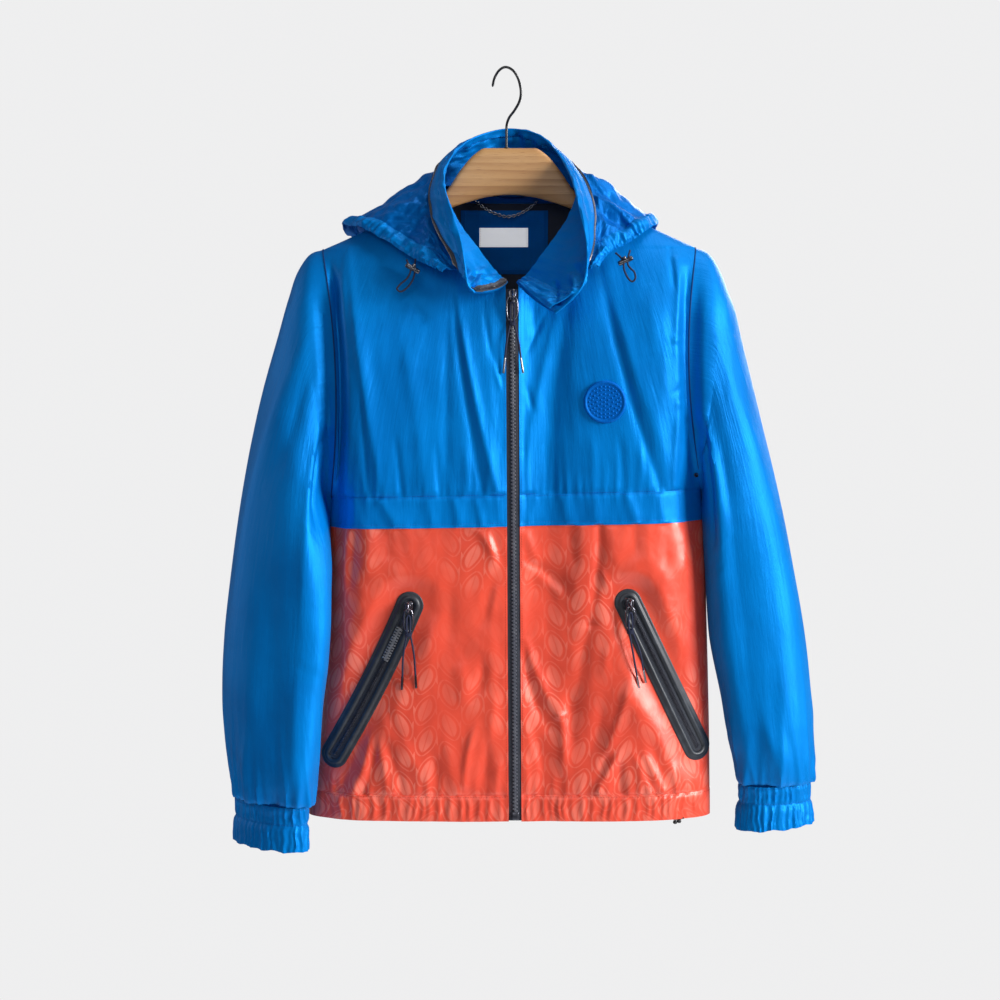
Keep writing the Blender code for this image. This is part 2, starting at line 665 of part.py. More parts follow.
wall("hood_rt", hood_grid(0.0, 0.4985, 17, 9), CLOTH, "nylon_blue", offset=-1.0)
wall("hood_lt", hood_grid(0.5015, 1.0, 17, 9), CLOTH, "nylon_blue", offset=-1.0)
wall("hood_channel", hood_grid(0.0, 1.0, 40, 1, channel=True), CASING, "nylon_blue", offset=-1.0)

# zip that joins hood and collar, on the collar's outer face
NZ = 40
wall("hood_zip", [[collar_point(tc, zip_v(tc) - 0.08 + 0.16 * j, LAY + 1.4) for j in range(2)]
                  for tc in (lerp(Z0 - 0.01, Z1 + 0.01, i / NZ) for i in range(NZ + 1))],
     1.4, "zip_dark", offset=-1.0)


# ---------------------------------------------------------------- neck inside
def inner_patch(x0, x1, z0, z1, nx, nz, depth):
    grid = []
    for i in range(nx + 1):
        x = lerp(x0, x1, i / nx)
        grid.append([body_point("rt" if x < 0 else "lt", "B", x, lerp(z0, z1, j / nz), -depth)
                     for j in range(nz + 1)])
    return grid


wall("neck_lining", inner_patch(-70, 66, -150, -262, 8, 5, 5.0), 0.8, "lining_navy", offset=1.0)
wall("neck_facing", inner_patch(-60, 43, -157, -232, 6, 4, 7.4), 0.8, "nylon_blue", offset=1.0)
wall("neck_label", inner_patch(-38, 19.4, -177.5, -200, 3, 2, 9.6), 0.8, "label_white", offset=1.0)
chain = [(-43, 35.5, -146), (-36, 35, -151.5), (-26, 34.5, -158), (-15, 34, -162.5), (-5, 34, -164.5),
         (6, 34, -162.5), (17, 34.5, -157), (25, 35, -151), (31, 35.5, -146)]
tube("chain_loop", smooth_route(chain, 20), 1.2, "gunmetal")


# ---------------------------------------------------------------- front zip
def zip_half(side):
    s = SIGN[side]
    n = 20
    return [[body_point(side, "F", s * x, lerp(ZIP_TOP, HEM_Z, i / n), -0.5) for x in (0.25, 3.2, ZIP_HALF)]
            for i in range(n + 1)]


for side in SIDES:
    wall("zip_" + side, zip_half(side), 2.0, "zip_dark", offset=0.0)


def on_front(x, z, out):
    return body_point("rt" if x < 0 else "lt", "F", x, z, out)


def pull_set(tag, at, ring_w, ring_l, tails, tip_len, out):
    """Slider, pull ring on its pin, and cord tails with metal tips.
    at: x and z of the slider; tails: x and z where each cord meets its tip, lean."""
    x, z = at
    n = normal("rt" if x < 0 else "lt", "F", x, z)
    seat = on_front(x, z, out)
    rot = frame_from((0, 0, 1), n)
    block("slider_" + tag, seat + n * 2.7, (8.5, 4.0, 12.0), "gunmetal", rot, 1.0)
    pin = seat + n * 6.6 + np.array([0, 0, -2.5])
    ring_pts = []
    for i in range(24):
        a = 2 * math.pi * i / 24
        c, s = math.cos(a), math.sin(a)
        px = 0.5 * ring_w * math.copysign(abs(s) ** 0.75, s)
        pz = -0.5 * ring_l * (1 - math.copysign(abs(c) ** 0.9, c))
        ring_pts.append(np.array([pin[0] + px, pin[1], pin[2] + pz]))
    ring_obj = tube("pull_" + tag, ring_pts, 1.1, "gunmetal", 2, closed=True)
    for side_name, (tx, tz, lean) in tails.items():
        top = np.array([pin[0] + (1.7 if side_name == "b" else -1.7), pin[1] - 0.2,
                        pin[2] - ring_l - 2.6])
        end = on_front(tx, tz, out + 3.2)
        mid = (top + end) / 2 + np.array([lean, -2.0, 0])
        tube("tail_%s_%s" % (tag, side_name), smooth_route([top, mid, end], 12), CORD / 2, "cord_navy")
        run = end - mid
        run = run / np.linalg.norm(run)
        tube("tip_%s_%s" % (tag, side_name), [end + run * 0.4, end + run * tip_len], 1.35, "teeth_silver")
    return pin


PIN_FRONT = pull_set("front", (0.0, -259.0), 11.5, 27.0,
                     {"a": (-8.5, -331.0, -1.0), "b": (9.5, -331.0, 1.0)}, 17.0, 0.9)

# ---------------------------------------------------------------- pockets
def pocket_frame(side):
    (xa, za), (xb, zb) = POCKET[side]
    run = np.array([xb - xa, zb - za], float)
    length = np.linalg.norm(run)
    return np.array([xa, za], float), run / length, length


def stadium(side, radius, s):
    """Point at s (0..1) round a stadium of the given radius about the pocket line."""
    a, d, length = pocket_frame(side)
    nrm = np.array([-d[1], d[0]])
    half, arc = length, math.pi * 15.0
    total = 2 * half + 2 * arc
    q = (s % 1.0) * total
    bend = 3.0 if side == "rt" else 0.0
    if q < half:
        k = q / half
        return a + d * q + nrm * (radius - bend * 4 * k * (1 - k) * -1)
    q -= half
    if q < arc:
        g = math.pi * q / arc
        return a + d * length + nrm * radius * math.cos(g) + d * radius * math.sin(g)
    q -= arc
    if q < half:
        k = 1 - q / half
        return a + d * (length - q) + nrm * (-radius + bend * 4 * k * (1 - k))
    q -= half
    g = math.pi * q / arc
    return a - nrm * radius * math.cos(g) - d * radius * math.sin(g)


def pocket_line(side, k, w):
    a, d, length = pocket_frame(side)
    nrm = np.array([-d[1], d[0]])
    bend = 3.0 if side == "rt" else 0.0
    kk = min(max(k / length, 0), 1)
    return a + d * k + nrm * (w + bend * 4 * kk * (1 - kk))


for side in SIDES:
    n = 44
    ring_grid = []
    for i in range(n):
        o = stadium(side, TAPE_HALF, i / n)
        c = stadium(side, SLOT_HALF, i / n)
        ring_grid.append([on_front(*lerp(o, c, j / 2), LAY + 0.65) for j in range(3)])
    wall("pocket_tape_" + side, ring_grid, 1.3, "tape_black", closed=True, offset=0.0)
    length = pocket_frame(side)[2]
    w = SLOT_HALF - 0.6
    grid = []
    for i in range(19):
        k = lerp(-w * 0.75, length + w * 0.75, i / 18)
        wk = w if 0 < k < length else w * 0.7
        grid.append([on_front(*pocket_line(side, k, q), LAY + 0.6) for q in (-wk, 0, wk)])
    wall("pocket_zip_" + side, grid, 1.2, "zip_dark", offset=0.0)

PIN_RT = pull_set("pocket_rt", (-117.0, -612.0), 9.5, 24.0,
                  {"a": (-124.5, -692.0, -1.5), "b": (-110.0, -690.0, 1.5)}, 15.0, LAY + 2.2)
PIN_LT = pull_set("pocket_lt", (132.0, -609.0), 9.5, 24.0,
                  {"a": (140.0, -691.0, 0.0), "b": (147.5, -685.0, 2.0)}, 15.0, LAY + 2.2)

# ---------------------------------------------------------------- badge, trims
def disc_grid(cx, cz, r, n, out):
    grid = []
    for i in range(n + 1):
        col = []
        for j in range(n + 1):
            a, b = -1 + 2 * i / n, -1 + 2 * j / n
            u = a * math.sqrt(1 - b * b / 2)
            v = b * math.sqrt(1 - a * a / 2)
            col.append(on_front(cx + r * u, cz + r * v, out))
        grid.append(col)
    return grid


wall("badge", disc_grid(104.5, -380, 24.0, 8, LAY + 1.1), 2.2, "rubber_blue", offset=0.0)

LOCKS = {"rt": ((-112.0, -74.0, -229.5), -30.0), "lt": ((128.0, -66.0, -220.5), 24.0)}
LOOPS = {
    "rt": [(-2.0, 0, -5.2), (-6, -1, -12), (-14, -2, -18), (-17.5, -2, -23), (-13, -2, -26), (-6.5, -1.5, -22),
           (-1, -1, -14), (2.0, 0, -6.6)],
    "lt": [(-2.0, 0, -6.4), (-1, -1, -12), (3, -2, -20), (7.5, -2, -23.5), (11, -2, -20), (10, -1.5, -13),
           (6, -1, -9), (2.4, 0, -5.0)],
}
for side in SIDES:
    c, tilt = LOCKS[side]
    bar = tube("cord_lock_" + side, [np.array(c) + np.array([math.cos(math.radians(tilt)) * q, 0,
               math.sin(math.radians(tilt)) * q]) for q in (-9.0, 9.0)], 2.9, "gunmetal", 3)
    tube("cord_loop_" + side, smooth_route([np.array(c) + np.array(q, float) for q in LOOPS[side]], 22),
         CORD / 2, "cord_navy")

hem_at = on_front(190, -857, 0)
block("hem_cord_end", (hem_at[0], hem_at[1] + 3.0, -861.4), (9.0, 5.0, 6.0), "gunmetal", None, 1.5)

# ---------------------------------------------------------------- hanger
ROUND = 5.0


def hanger_outline():
    """Outline drawn in by the rounding, which the bevel gives back."""
    up = [(x, z) for x, z in HANGER_UP]
    low = [(x, z) for x, z in HANGER_LOW]
    half = up + low
    mirror = [(-x - 4, z) for x, z in reversed(half)]
    loop = half + mirror
    loop = [q for i, q in enumerate(loop) if i == 0 or np.hypot(*np.subtract(q, loop[i - 1])) > 1.0]
    pts = [np.array(q, float) for q in loop]
    n = len(pts)
    inset = []
    for i in range(n):
        a, b, c = pts[i - 1], pts[i], pts[(i + 1) % n]
        d1, d2 = (b - a) / np.linalg.norm(b - a), (c - b) / np.linalg.norm(c - b)
        n1, n2 = np.array([d1[1], -d1[0]]), np.array([d2[1], -d2[0]])
        m = n1 + n2
        m = m / max(np.linalg.norm(m), 0.3)
        inset.append(b + m * ROUND / max(0.55, float(m @ n1)))
    return inset


def flat_curve(name, outline, thick, rounding, mat, y=0.0):
    cu = bpy.data.curves.new(name, "CURVE")
    cu.dimensions = "2D"
    cu.fill_mode = "BOTH"
    cu.extrude = (thick / 2 - rounding) * 0.001
    cu.bevel_depth = rounding * 0.001
    cu.bevel_resolution = 2
    sp = cu.splines.new("POLY")
    sp.points.add(len(outline) - 1)
    for q, (x, z) in zip(sp.points, outline):
        q.co = (x * 0.001, z * 0.001, 0.0, 1.0)
    sp.use_cyclic_u = True
    obj = bpy.data.objects.new(name, cu)
    obj.rotation_euler = (math.pi / 2, 0, 0)
    obj.location = tuple(to_world((0, y, 0)))
    cu.materials.append(material(mat))
    parts.objects.link(obj)
    return obj


flat_curve("hanger_wood", hanger_outline(), HANGER_THICK, ROUND, "wood")
PLANE = np.array([0.608, -0.794])
hook_pts = []
for h, z in [tuple(through([np.array(q, float) for q in HOOK], i / 45)) for i in range(46)]:
    hook_pts.append(np.array([-6.1 + PLANE[0] * h, PLANE[1] * h, z]))
hook_pts[0] = np.array([-6.1, 0, -86.4])
tube("hanger_hook", hook_pts, HOOK_WIRE / 2, "wire_black", 3)

bpy.context.view_layer.update()
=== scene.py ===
"""Looks of a hooded windbreaker jacket hanging on a wooden hanger.

All tables are in millimetres and share the CAD model's datum (the middle of the
hanger): x runs across (the wearer's left is +x), y from front (-) to back (+),
z up.  DATUM takes them to the CAD frame, whose origin is the underside of the
hook's crown.
"""
import math

import bmesh
import bpy
import numpy as np
from mathutils import Matrix, Vector


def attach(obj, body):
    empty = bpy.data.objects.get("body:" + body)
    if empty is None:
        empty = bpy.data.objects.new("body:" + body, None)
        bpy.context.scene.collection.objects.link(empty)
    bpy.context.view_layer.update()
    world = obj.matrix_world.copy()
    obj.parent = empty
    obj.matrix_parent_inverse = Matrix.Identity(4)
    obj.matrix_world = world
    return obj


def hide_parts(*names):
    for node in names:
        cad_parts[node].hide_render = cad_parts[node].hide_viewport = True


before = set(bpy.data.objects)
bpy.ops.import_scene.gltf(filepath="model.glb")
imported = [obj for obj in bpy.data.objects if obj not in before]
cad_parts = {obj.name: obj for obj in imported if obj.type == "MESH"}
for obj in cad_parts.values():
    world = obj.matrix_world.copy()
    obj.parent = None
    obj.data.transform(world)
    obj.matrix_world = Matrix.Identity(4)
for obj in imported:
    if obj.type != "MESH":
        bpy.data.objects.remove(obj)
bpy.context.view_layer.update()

ROOT = "jacket"
MM = 0.001

# ---------------------------------------------------------------- sizes, as in the CAD
DATUM = np.array([8.0, -2.4, -6.5])
SEAM = 0.7
BULGE_N = 2.4
BULGE_LOW = 2.9
HEM_Z = -857.0
HEM_TOP = -828.0
WAIST = {"rt": -490.0, "lt": -481.0}
RED = {"rt": -524.0, "lt": -516.0}
CF_DRIFT = 3.6
ZIP_HALF = 7.2
ZIP_TOP = -252.0
SIGN = {"rt": -1, "lt": 1}
SIDES = ("rt", "lt")

RIDGE = [(60, -118), (67, -124), (80, -134), (100, -147), (125, -160.5),
         (150, -173), (175, -185), (200, -196.5), (219, -205), (232, -212)]
NECK = [(0, -248, -142), (5, -247.5, -142), (12, -243.5, -141.5), (22, -233, -140.5),
        (40, -208, -138), (61, -179, -134.5), (73, -154, -133), (80, -134, -134)]
DEPTH = [(-120, 8, 34), (-134, 13, 40), (-156, 20, 46), (-182, 31, 50), (-207, 41, 52),
         (-231, 47, 53), (-260, 52, 54), (-300, 57, 55), (-380, 62, 55), (-480, 62, 54),
         (-600, 58, 52), (-720, 55, 50), (-857, 53, 49), (-870, 53, 49)]
SIDE = [(-480, 209, 219), (-494, 209.2, 220.5), (-520, 211.5, 222.5), (-560, 214.5, 224.5),
        (-620, 216, 226), (-700, 218.5, 228), (-780, 225, 229.5), (-857, 236, 230),
        (-870, 236, 230)]
ARMHOLE = {
    "rt": dict(ox=-219, oz=-205, ix=-209, iz=-494, half=48, bow_f=13, bow_b=8),
    "lt": dict(ox=213, oz=-203, ix=220, iz=-484, half=48, bow_f=-15, bow_b=-8),
}
SLEEVE_RT = [(-236, -213, -211.5, -498, 1, -3, 48.5), (-248, -231, -212, -504, 2, -9, 48.5),
             (-258, -260, -212.5, -512, 3, -16, 48.5), (-270, -305, -213, -522, 4, -25, 48.5),
             (-285, -362, -213, -536, 4, -36, 48.5), (-299, -425, -213, -556, 3, -47, 46),
             (-312, -493, -213, -588, 1, -58, 43), (-323, -565, -213.5, -632, -2, -61, 42),
             (-332, -640, -215, -682, -5, -63, 41), (-335, -700, -220, -726, -8, -64, 40),
             (-332, -758, -223, -772, -10, -64, 40), (-325.5, -806, -227.5, -810, -12, -63, 39),
             (-321, -834, -230, -835, -14, -63, 34)]
SLEEVE_LT = [(230, -212, 223, -488, 1, -1, 48.5), (242, -232, 224.5, -494, 2, -4, 48.5),
             (251.5, -262, 225.5, -502, 3, -8, 48.5), (262.5, -305, 226, -512, 4, -13, 48.5),
             (278, -362, 226.5, -526, 5, -18, 48.5), (293.5, -425, 227, -546, 6, -23, 48.5),
             (309.5, -493, 228, -578, 6, -27, 46), (324.5, -565, 230, -620, 5, -29, 44),
             (337, -640, 234, -670, 3, -29, 43), (343.5, -700, 239, -716, 0, -28, 42),
             (347, -758, 247, -762, -3, -26, 41), (347.5, -796, 256, -796, -5, -23, 38),
             (347, -818, 260, -819, -6, -20, 34)]
CUFF_RT = [(-320.5, -836, -230.5, -837, -14, -62, 32), (-319, -848, -231, -849, -14, -61, 30),
           (-321, -867, -230, -868, -14, -61, 32), (-321.5, -884.5, -229.5, -886.5, -14, -61, 33)]
CUFF_LT = [(346.5, -820, 260.5, -821, -6, -20, 32), (346, -832, 262, -833, -6, -19, 30),
           (348.5, -852, 259, -852, -6, -18, 32), (350, -866, 258, -872.5, -6, -18, 33)]
COLLAR = [
    ("F", -5.5, -22, -80, -256, -43, -108, -258),
    ("F", -14, -36, -84, -247, -50, -111, -250),
    ("F", -24, -48, -86, -237, -52, -111, -240),
    ("F", -38, -62, -84, -222, -53.5, -108, -226),
    ("F", -52, -79, -74, -197, -59, -99, -197),
    ("F", -63, -90, -57, -167, -70, -82, -162),
    ("F", -72, -93.5, -37, -141, -77.5, -62, -136),
    ("F", -79.4, -88, -12, -114, -76, -32, -111),
    ("B", -72, -78, 20, -99, -64, 2, -88),
    ("B", -42, -46, 47, -93, -42, 30, -70),
    ("B", -4, -5, 57, -92, -5, 44, -60),
    ("B", 34, 40, 47, -93, 30, 30, -67),
    ("B", 70, 65, 20, -99, 51, 4, -87),
    ("F", 79.4, 76, -12, -114, 65, -30, -115),
    ("F", 74, 89, -35, -139, 72, -58, -138),
    ("F", 65, 92, -57, -167, 77, -82, -165),
    ("F", 52, 89, -75, -197, 83, -99, -197),
    ("F", 38, 80, -86, -224, 83.5, -108, -226),
    ("F", 26, 64, -88, -243, 80, -112, -248),
    ("F", 14, 47, -85, -258, 67, -112, -265),
    ("F", 5.5, 26, -78, -266, 48, -105, -281),
]
HOOD = [
    (0.00, -79, -95, -233, 1, 0, 1), (0.06, -93, -80, -227, 2, 0, 2),
    (0.13, -113, -63, -217, 3, 0, 3), (0.20, -142, -46, -198, 4, 0, 4),
    (0.27, -172, -28, -182, 4, 0, 4), (0.33, -197, 6, -176, 3, 10, 5),
    (0.38, -188, 54, -188, 0, 62, 10), (0.44, -120, 98, -210, 0, 190, 22),
    (0.50, 0, 112, -220, 0, 250, 24), (0.56, 110, 99, -210, 0, 190, 22),
    (0.62, 162, 56, -188, 0, 62, 10), (0.67, 170, 8, -176, 3, 10, 5),
    (0.73, 155, -30, -184, 4, 0, 4), (0.80, 135, -46, -198, 4, 0, 4),
    (0.87, 115, -61, -208, 3, 0, 3), (0.94, 104, -75, -218, 2, 0, 2),
    (1.00, 97, -90, -228, 1, 0, 1),
]
HANGER_UP = [(0, -87), (27, -87), (38, -93), (56, -113), (68, -131), (84, -149),
             (104, -156), (150, -178), (196, -200), (219, -211)]
HANGER_LOW = [(222, -220), (212, -233), (190, -231), (150, -207), (104, -177),
              (66, -156.5), (47, -150), (24, -144), (0, -141.5)]
POCKET = {"rt": ((-117, -611), (-203, -784)), "lt": ((131, -608), (212, -776))}
TAPE_HALF = 15.5
SLOT_HALF = 5.6
LAY = 2.0

# ---------------------------------------------------------------- mathematics


def curve(rows, key=0, value=1):
    """Smooth function through table rows (cubic, no overshoot), for arrays."""
    pts = sorted((float(r[key]), float(r[value])) for r in rows)
    x = np.array([p[0] for p in pts])
    y = np.array([p[1] for p in pts])
    h = np.diff(x)
    d = np.diff(y) / h
    m = np.zeros(len(x))
    m[0], m[-1] = d[0], d[-1]
    for i in range(1, len(x) - 1):
        if d[i - 1] * d[i] > 0:
            w1, w2 = 2 * h[i] + h[i - 1], h[i] + 2 * h[i - 1]
            m[i] = (w1 + w2) / (w1 / d[i - 1] + w2 / d[i])

    def f(t):
        t = np.clip(np.asarray(t, float), x[0], x[-1])
        i = np.clip(np.searchsorted(x, t, side="right") - 1, 0, len(x) - 2)
        s = (t - x[i]) / h[i]
        return ((1 + 2 * s) * (1 - s) ** 2 * y[i] + s * (1 - s) ** 2 * h[i] * m[i]
                + s * s * (3 - 2 * s) * y[i + 1] + s * s * (s - 1) * h[i] * m[i + 1])
    return f


def through(points, t):
    """Points at t (0..1, an array) on a smooth curve through the points."""
    p = np.asarray(points, float)
    t = np.asarray(t, float)
    n = len(p) - 1
    q = np.vstack([2 * p[0] - p[1], p, 2 * p[-1] - p[-2]])
    s = np.clip(t, 0.0, 1.0) * n
    i = np.minimum(s.astype(int), n - 1)
    u = (s - i)[..., None]
    a, b, c, d = q[i], q[i + 1], q[i + 2], q[i + 3]
    return 0.5 * (2 * b + (c - a) * u + (2 * a - 5 * b + 4 * c - d) * u * u
                  + (3 * b - a - 3 * c + d) * u ** 3)


def lerp(a, b, t):
    return a + (b - a) * t


def smooth(t):
    t = np.clip(t, 0.0, 1.0)
    return t * t * (3 - 2 * t)


def unit(a):
    return a / np.maximum(np.linalg.norm(a, axis=-1, keepdims=True), 1e-9)


def to_world(p):
    return (np.asarray(p, float) + DATUM) * MM


def noise(x, y, seed=0):
    """Smooth gradient noise in about -1..1, one bump per unit."""
    x, y = np.asarray(x, float), np.asarray(y, float)
    xi, yi = np.floor(x).astype(np.int64), np.floor(y).astype(np.int64)
    fx, fy = x - xi, y - yi
    u, v = fx ** 3 * (fx * (fx * 6 - 15) + 10), fy ** 3 * (fy * (fy * 6 - 15) + 10)

    def grad(i, j):
        h = (i * 374761393 + j * 668265263 + seed * 1442695041) & 0xFFFFFFFF
        h = ((h ^ (h >> 13)) * 1274126177) & 0xFFFFFFFF
        a = ((h ^ (h >> 16)) & 0xFFFF) / 65536.0 * 2 * np.pi
        return np.cos(a), np.sin(a)

    out = 0.0
    for di, wu in ((0, 1 - u), (1, u)):
        for dj, wv in ((0, 1 - v), (1, v)):
            gx, gy = grad(xi + di, yi + dj)
            out = out + wu * wv * (gx * (fx - di) + gy * (fy - dj))
    return out * 1.5


def crinkle(x, y, seed=0, octaves=3):
    """Ridged noise: thin creases between soft facets."""
    out, amp = 0.0, 1.0
    for k in range(octaves):
        out = out + amp * (1 - 2.2 * np.abs(noise(x * 2 ** k + 7.3 * k, y * 2 ** k - 3.1 * k, seed + k)))
        amp *= 0.5
    return out * 0.5


# a crease: where it starts and ends, how far its middle bows sideways, widths of the
# two ends, height (minus is a trough), share of the height at each end, lean
def creases(rows, x, z):
    h = np.zeros(np.broadcast(x, z).shape)
    for x0, z0, x1, z1, bow, w0, w1, amp, a0, a1, lean in rows:
        dx, dz = x1 - x0, z1 - z0
        ll = dx * dx + dz * dz
        length = math.sqrt(ll)
        t = ((x - x0) * dx + (z - z0) * dz) / ll
        off = ((x - x0) * dz - (z - z0) * dx) / length * (1 if dz < 0 else -1)
        # off is positive towards +x for a crease that runs down
        off = -off - bow * 4 * t * (1 - t)
        w = np.maximum(lerp(w0, w1, np.clip(t, 0, 1)), 0.5)
        w = w * np.where(off < 0, 1 - lean, 1 + lean)
        env = lerp(a0, 1.0, smooth(t / 0.35)) * lerp(a1, 1.0, smooth((1 - t) / 0.35))
        env = env * smooth((t + 0.06) / 0.06) * smooth((1.06 - t) / 0.06)
        h = h + amp * env * np.exp(-np.abs(off / w) ** 1.7)
    return h


def gather_marks(lo, hi, gap, seed):
    """Uneven places of small tucks along a seam: place, width, height, reach, lean."""
    rng = np.random.default_rng(seed)
    out, p = [], lo + rng.uniform(0, gap)
    while p < hi:
        out.append((p, rng.uniform(0.22, 0.38) * gap, rng.uniform(0.35, 1.0), rng.uniform(0.3, 1.0) ** 1.6,
                    rng.normal(0, 0.10)))
        p += gap * rng.uniform(0.6, 1.5)
    return out


def tucks(marks, along, away, height, reach, spread=0.5):
    """Relief of the tucks at a distance away (>= 0) from their seam."""
    h = np.zeros(np.broadcast(along, away).shape)
    a = np.maximum(away, 0.0)
    for p, w, k, r, lean in marks:
        length = reach * (0.35 + r)
        ww = w * (1 + spread * a / length)
        h = h + k * np.exp(-((along - p - lean * a) / ww) ** 2) * np.exp(-(a / length) ** 1.5)
    return height * (h - 0.30 * np.exp(-(a / (reach * 0.7)) ** 1.5))


ridge_z = curve(RIDGE, 0, 1)
ridge_x = curve(RIDGE, 1, 0)
neck_f = curve(NECK, 0, 1)
neck_b = curve(NECK, 0, 2)
depth_f = curve(DEPTH, 0, 1)
depth_b = curve(DEPTH, 0, 2)
side_reach = {"rt": curve(SIDE, 0, 1), "lt": curve(SIDE, 0, 2)}


def arm_edge(side, face, z):
    a = ARMHOLE[side]
    mid, half = (a["oz"] + a["iz"]) / 2, (a["oz"] - a["iz"]) / 2
    c = np.clip((z - mid) / half, -1.0, 1.0)
    s = np.sqrt(np.maximum(1 - c * c, 0.0))
    t = (1 - c) / 2
    bow = a["bow_f"] if face == "F" else a["bow_b"]
    x = lerp(a["ox"], a["ix"], t) + bow * s * s
    return np.abs(x), a["half"] * s ** (2 / 2.2)


def section(side, face, z):
    a = ARMHOLE[side]
    d = depth_f(z) if face == "F" else depth_b(z)
    reach, r0 = arm_edge(side, face, z)
    k = np.minimum(r0 / d, 0.97) ** BULGE_N
    mid = reach / (1 - k) ** (1 / BULGE_N)
    return d, np.where(z >= a["oz"], ridge_x(z), np.where(z > a["iz"], mid, side_reach[side](z)))


def edge_reach(side, face, z):
    a = ARMHOLE[side]
    return np.where(z > a["iz"], arm_edge(side, face, np.minimum(z, a["oz"]))[0], side_reach[side](z))


def line_z(table, x):
    return lerp(table["rt"], table["lt"], 0.5 + 0.5 * np.clip(x / 210, -1.0, 1.0))


def bulge(z):
    return lerp(BULGE_N, BULGE_LOW, smooth((-496 - z) / 90))


def body(side, face, x, z, relief=None):
    """Outer surface of the body; relief gives the cloth's folds there."""
    x, z = np.broadcast_arrays(np.asarray(x, float), np.asarray(z, float))
    d, reach = section(side, face, z)
    r = np.minimum(np.abs(x) / reach, 1.0)
    k = bulge(z)
    e = np.maximum(1 - r ** k, 0.0) ** (1 / k)
    sign = -1 if face == "F" else 1
    h = relief(side, x, z) if relief is not None else 0.0
    y = sign * (d * e + h * np.minimum(1.0, e * 1.6) * np.clip((1 - r) * 9, 0, 1))
    drift = CF_DRIFT * np.clip((-250 - z) / 600, 0, 1) * np.maximum(0.0, 1 - np.abs(x) / 190)
    return np.stack([x + (drift if face == "F" else 0.0), y, z], -1)


def normals(P, flip=False, closed=False):
    """Unit normals of a grid of points."""
    if closed:
        du = np.roll(P, -1, 0) - np.roll(P, 1, 0)
    else:
        du = np.gradient(P, axis=0)
    dv = np.gradient(P, axis=1)
    n = np.cross(du, dv)
    n = unit(n)
    return -n if flip else n

# ---------------------------------------------------------------- camera, light, floor
scene = bpy.context.scene
cam_data = bpy.data.cameras.new("camera")
cam = bpy.data.objects.new("camera", cam_data)
scene.collection.objects.link(cam)
cam.location = (-0.0057, -2.3274, -0.3165)
cam.rotation_euler = (math.radians(90), 0, 0)
cam_data.lens, cam_data.sensor_width = 72.0, 36.0
cam_data.shift_x, cam_data.shift_y = 0.0, -0.16
scene.camera = cam

world = bpy.data.worlds.new("studio")
scene.world = world
world.use_nodes = True
wt = world.node_tree
wt.nodes.clear()
w_out = wt.nodes.new("ShaderNodeOutputWorld")
w_seen, w_light = wt.nodes.new("ShaderNodeBackground"), wt.nodes.new("ShaderNodeBackground")
w_path, w_mix = wt.nodes.new("ShaderNodeLightPath"), wt.nodes.new("ShaderNodeMixShader")
w_seen.inputs["Color"].default_value = (0.86, 0.86, 0.865, 1)
w_light.inputs["Color"].default_value = (0.80, 0.86, 0.95, 1)
w_light.inputs["Strength"].default_value = 0.18
wt.links.new(w_path.outputs["Is Camera Ray"], w_mix.inputs[0])
wt.links.new(w_light.outputs[0], w_mix.inputs[1])
wt.links.new(w_seen.outputs[0], w_mix.inputs[2])
wt.links.new(w_mix.outputs[0], w_out.inputs["Surface"])
scene.view_settings.view_transform = "Standard"
scene.view_settings.look = "None"


def area_light(name, at, aim, size, power, colour=(1, 1, 1)):
    data = bpy.data.lights.new(name, "AREA")
    data.shape, data.size, data.size_y = "RECTANGLE", size[0], size[1]
    data.energy, data.color = power, colour
    obj = bpy.data.objects.new(name, data)
    scene.collection.objects.link(obj)
    obj.location = at
    obj.rotation_euler = (Vector(aim) - Vector(at)).to_track_quat("-Z", "Y").to_euler()
    return obj


area_light("key_right", (5.9, -3.0, 1.2), (0, 0, -0.45), (2.6, 3.0), 700)
area_light("front_fill", (-0.5, -4.2, 0.9), (0, 0, -0.45), (2.6, 1.8), 30)
area_light("top", (0.9, -0.3, 2.2), (0.1, 0, -0.3), (1.6, 1.4), 26)
area_light("back_fill", (1.9, 4.4, 1.0), (0, 0, -0.45), (2.6, 2.2), 150)
area_light("left_edge", (-2.6, 0.5, 0.0), (0, 0, -0.5), (0.8, 1.8), 8)

floor_mat = bpy.data.materials.new("pale_floor")
floor_mat.use_nodes = True
fb = floor_mat.node_tree.nodes["Principled BSDF"]
fb.inputs["Base Color"].default_value = (0.95, 0.95, 0.95, 1)
fb.inputs["Roughness"].default_value = 0.7
bm = bmesh.new()
bmesh.ops.create_circle(bm, cap_ends=True, segments=96, radius=1.5)
fmesh = bpy.data.meshes.new("floor")
bm.to_mesh(fmesh)
bm.free()
floor = bpy.data.objects.new("floor", fmesh)
floor.location = (0, 0, -1.78)
fmesh.materials.append(floor_mat)
scene.collection.objects.link(floor)

# ---------------------------------------------------------------- folds of the fronts
# how far the chest stands forward at each side of the middle, where the hanger's
# ends hold it out and the zip hangs back
CHEST = [(-222, 0), (-209, 2.0), (-200, 8.5), (-188, 14.5), (-172, 16), (-150, 12.5), (-118, 8.4), (-92, 5.6), (-70, 4.0),
         (-48, 3.8), (-28, 3.8), (-14, 1.0), (0, 0), (12, -3.6), (24, -7.4), (38, -8.6), (54, -5.4), (70, -0.4),
         (84, 2.6), (104, 5.6), (130, 10.4), (150, 13.4), (169, 15.5), (186, 12.5), (204, 3.5), (222, 0)]
CHEST_DOWN = [(-205, 0.0), (-240, 0.35), (-290, 0.9), (-340, 1.0), (-430, 0.95), (-480, 0.82), (-530, 0.78),
              (-650, 0.70), (-780, 0.45), (-857, 0.2)]
chest_x = curve(CHEST)
chest_z = curve(CHEST_DOWN)

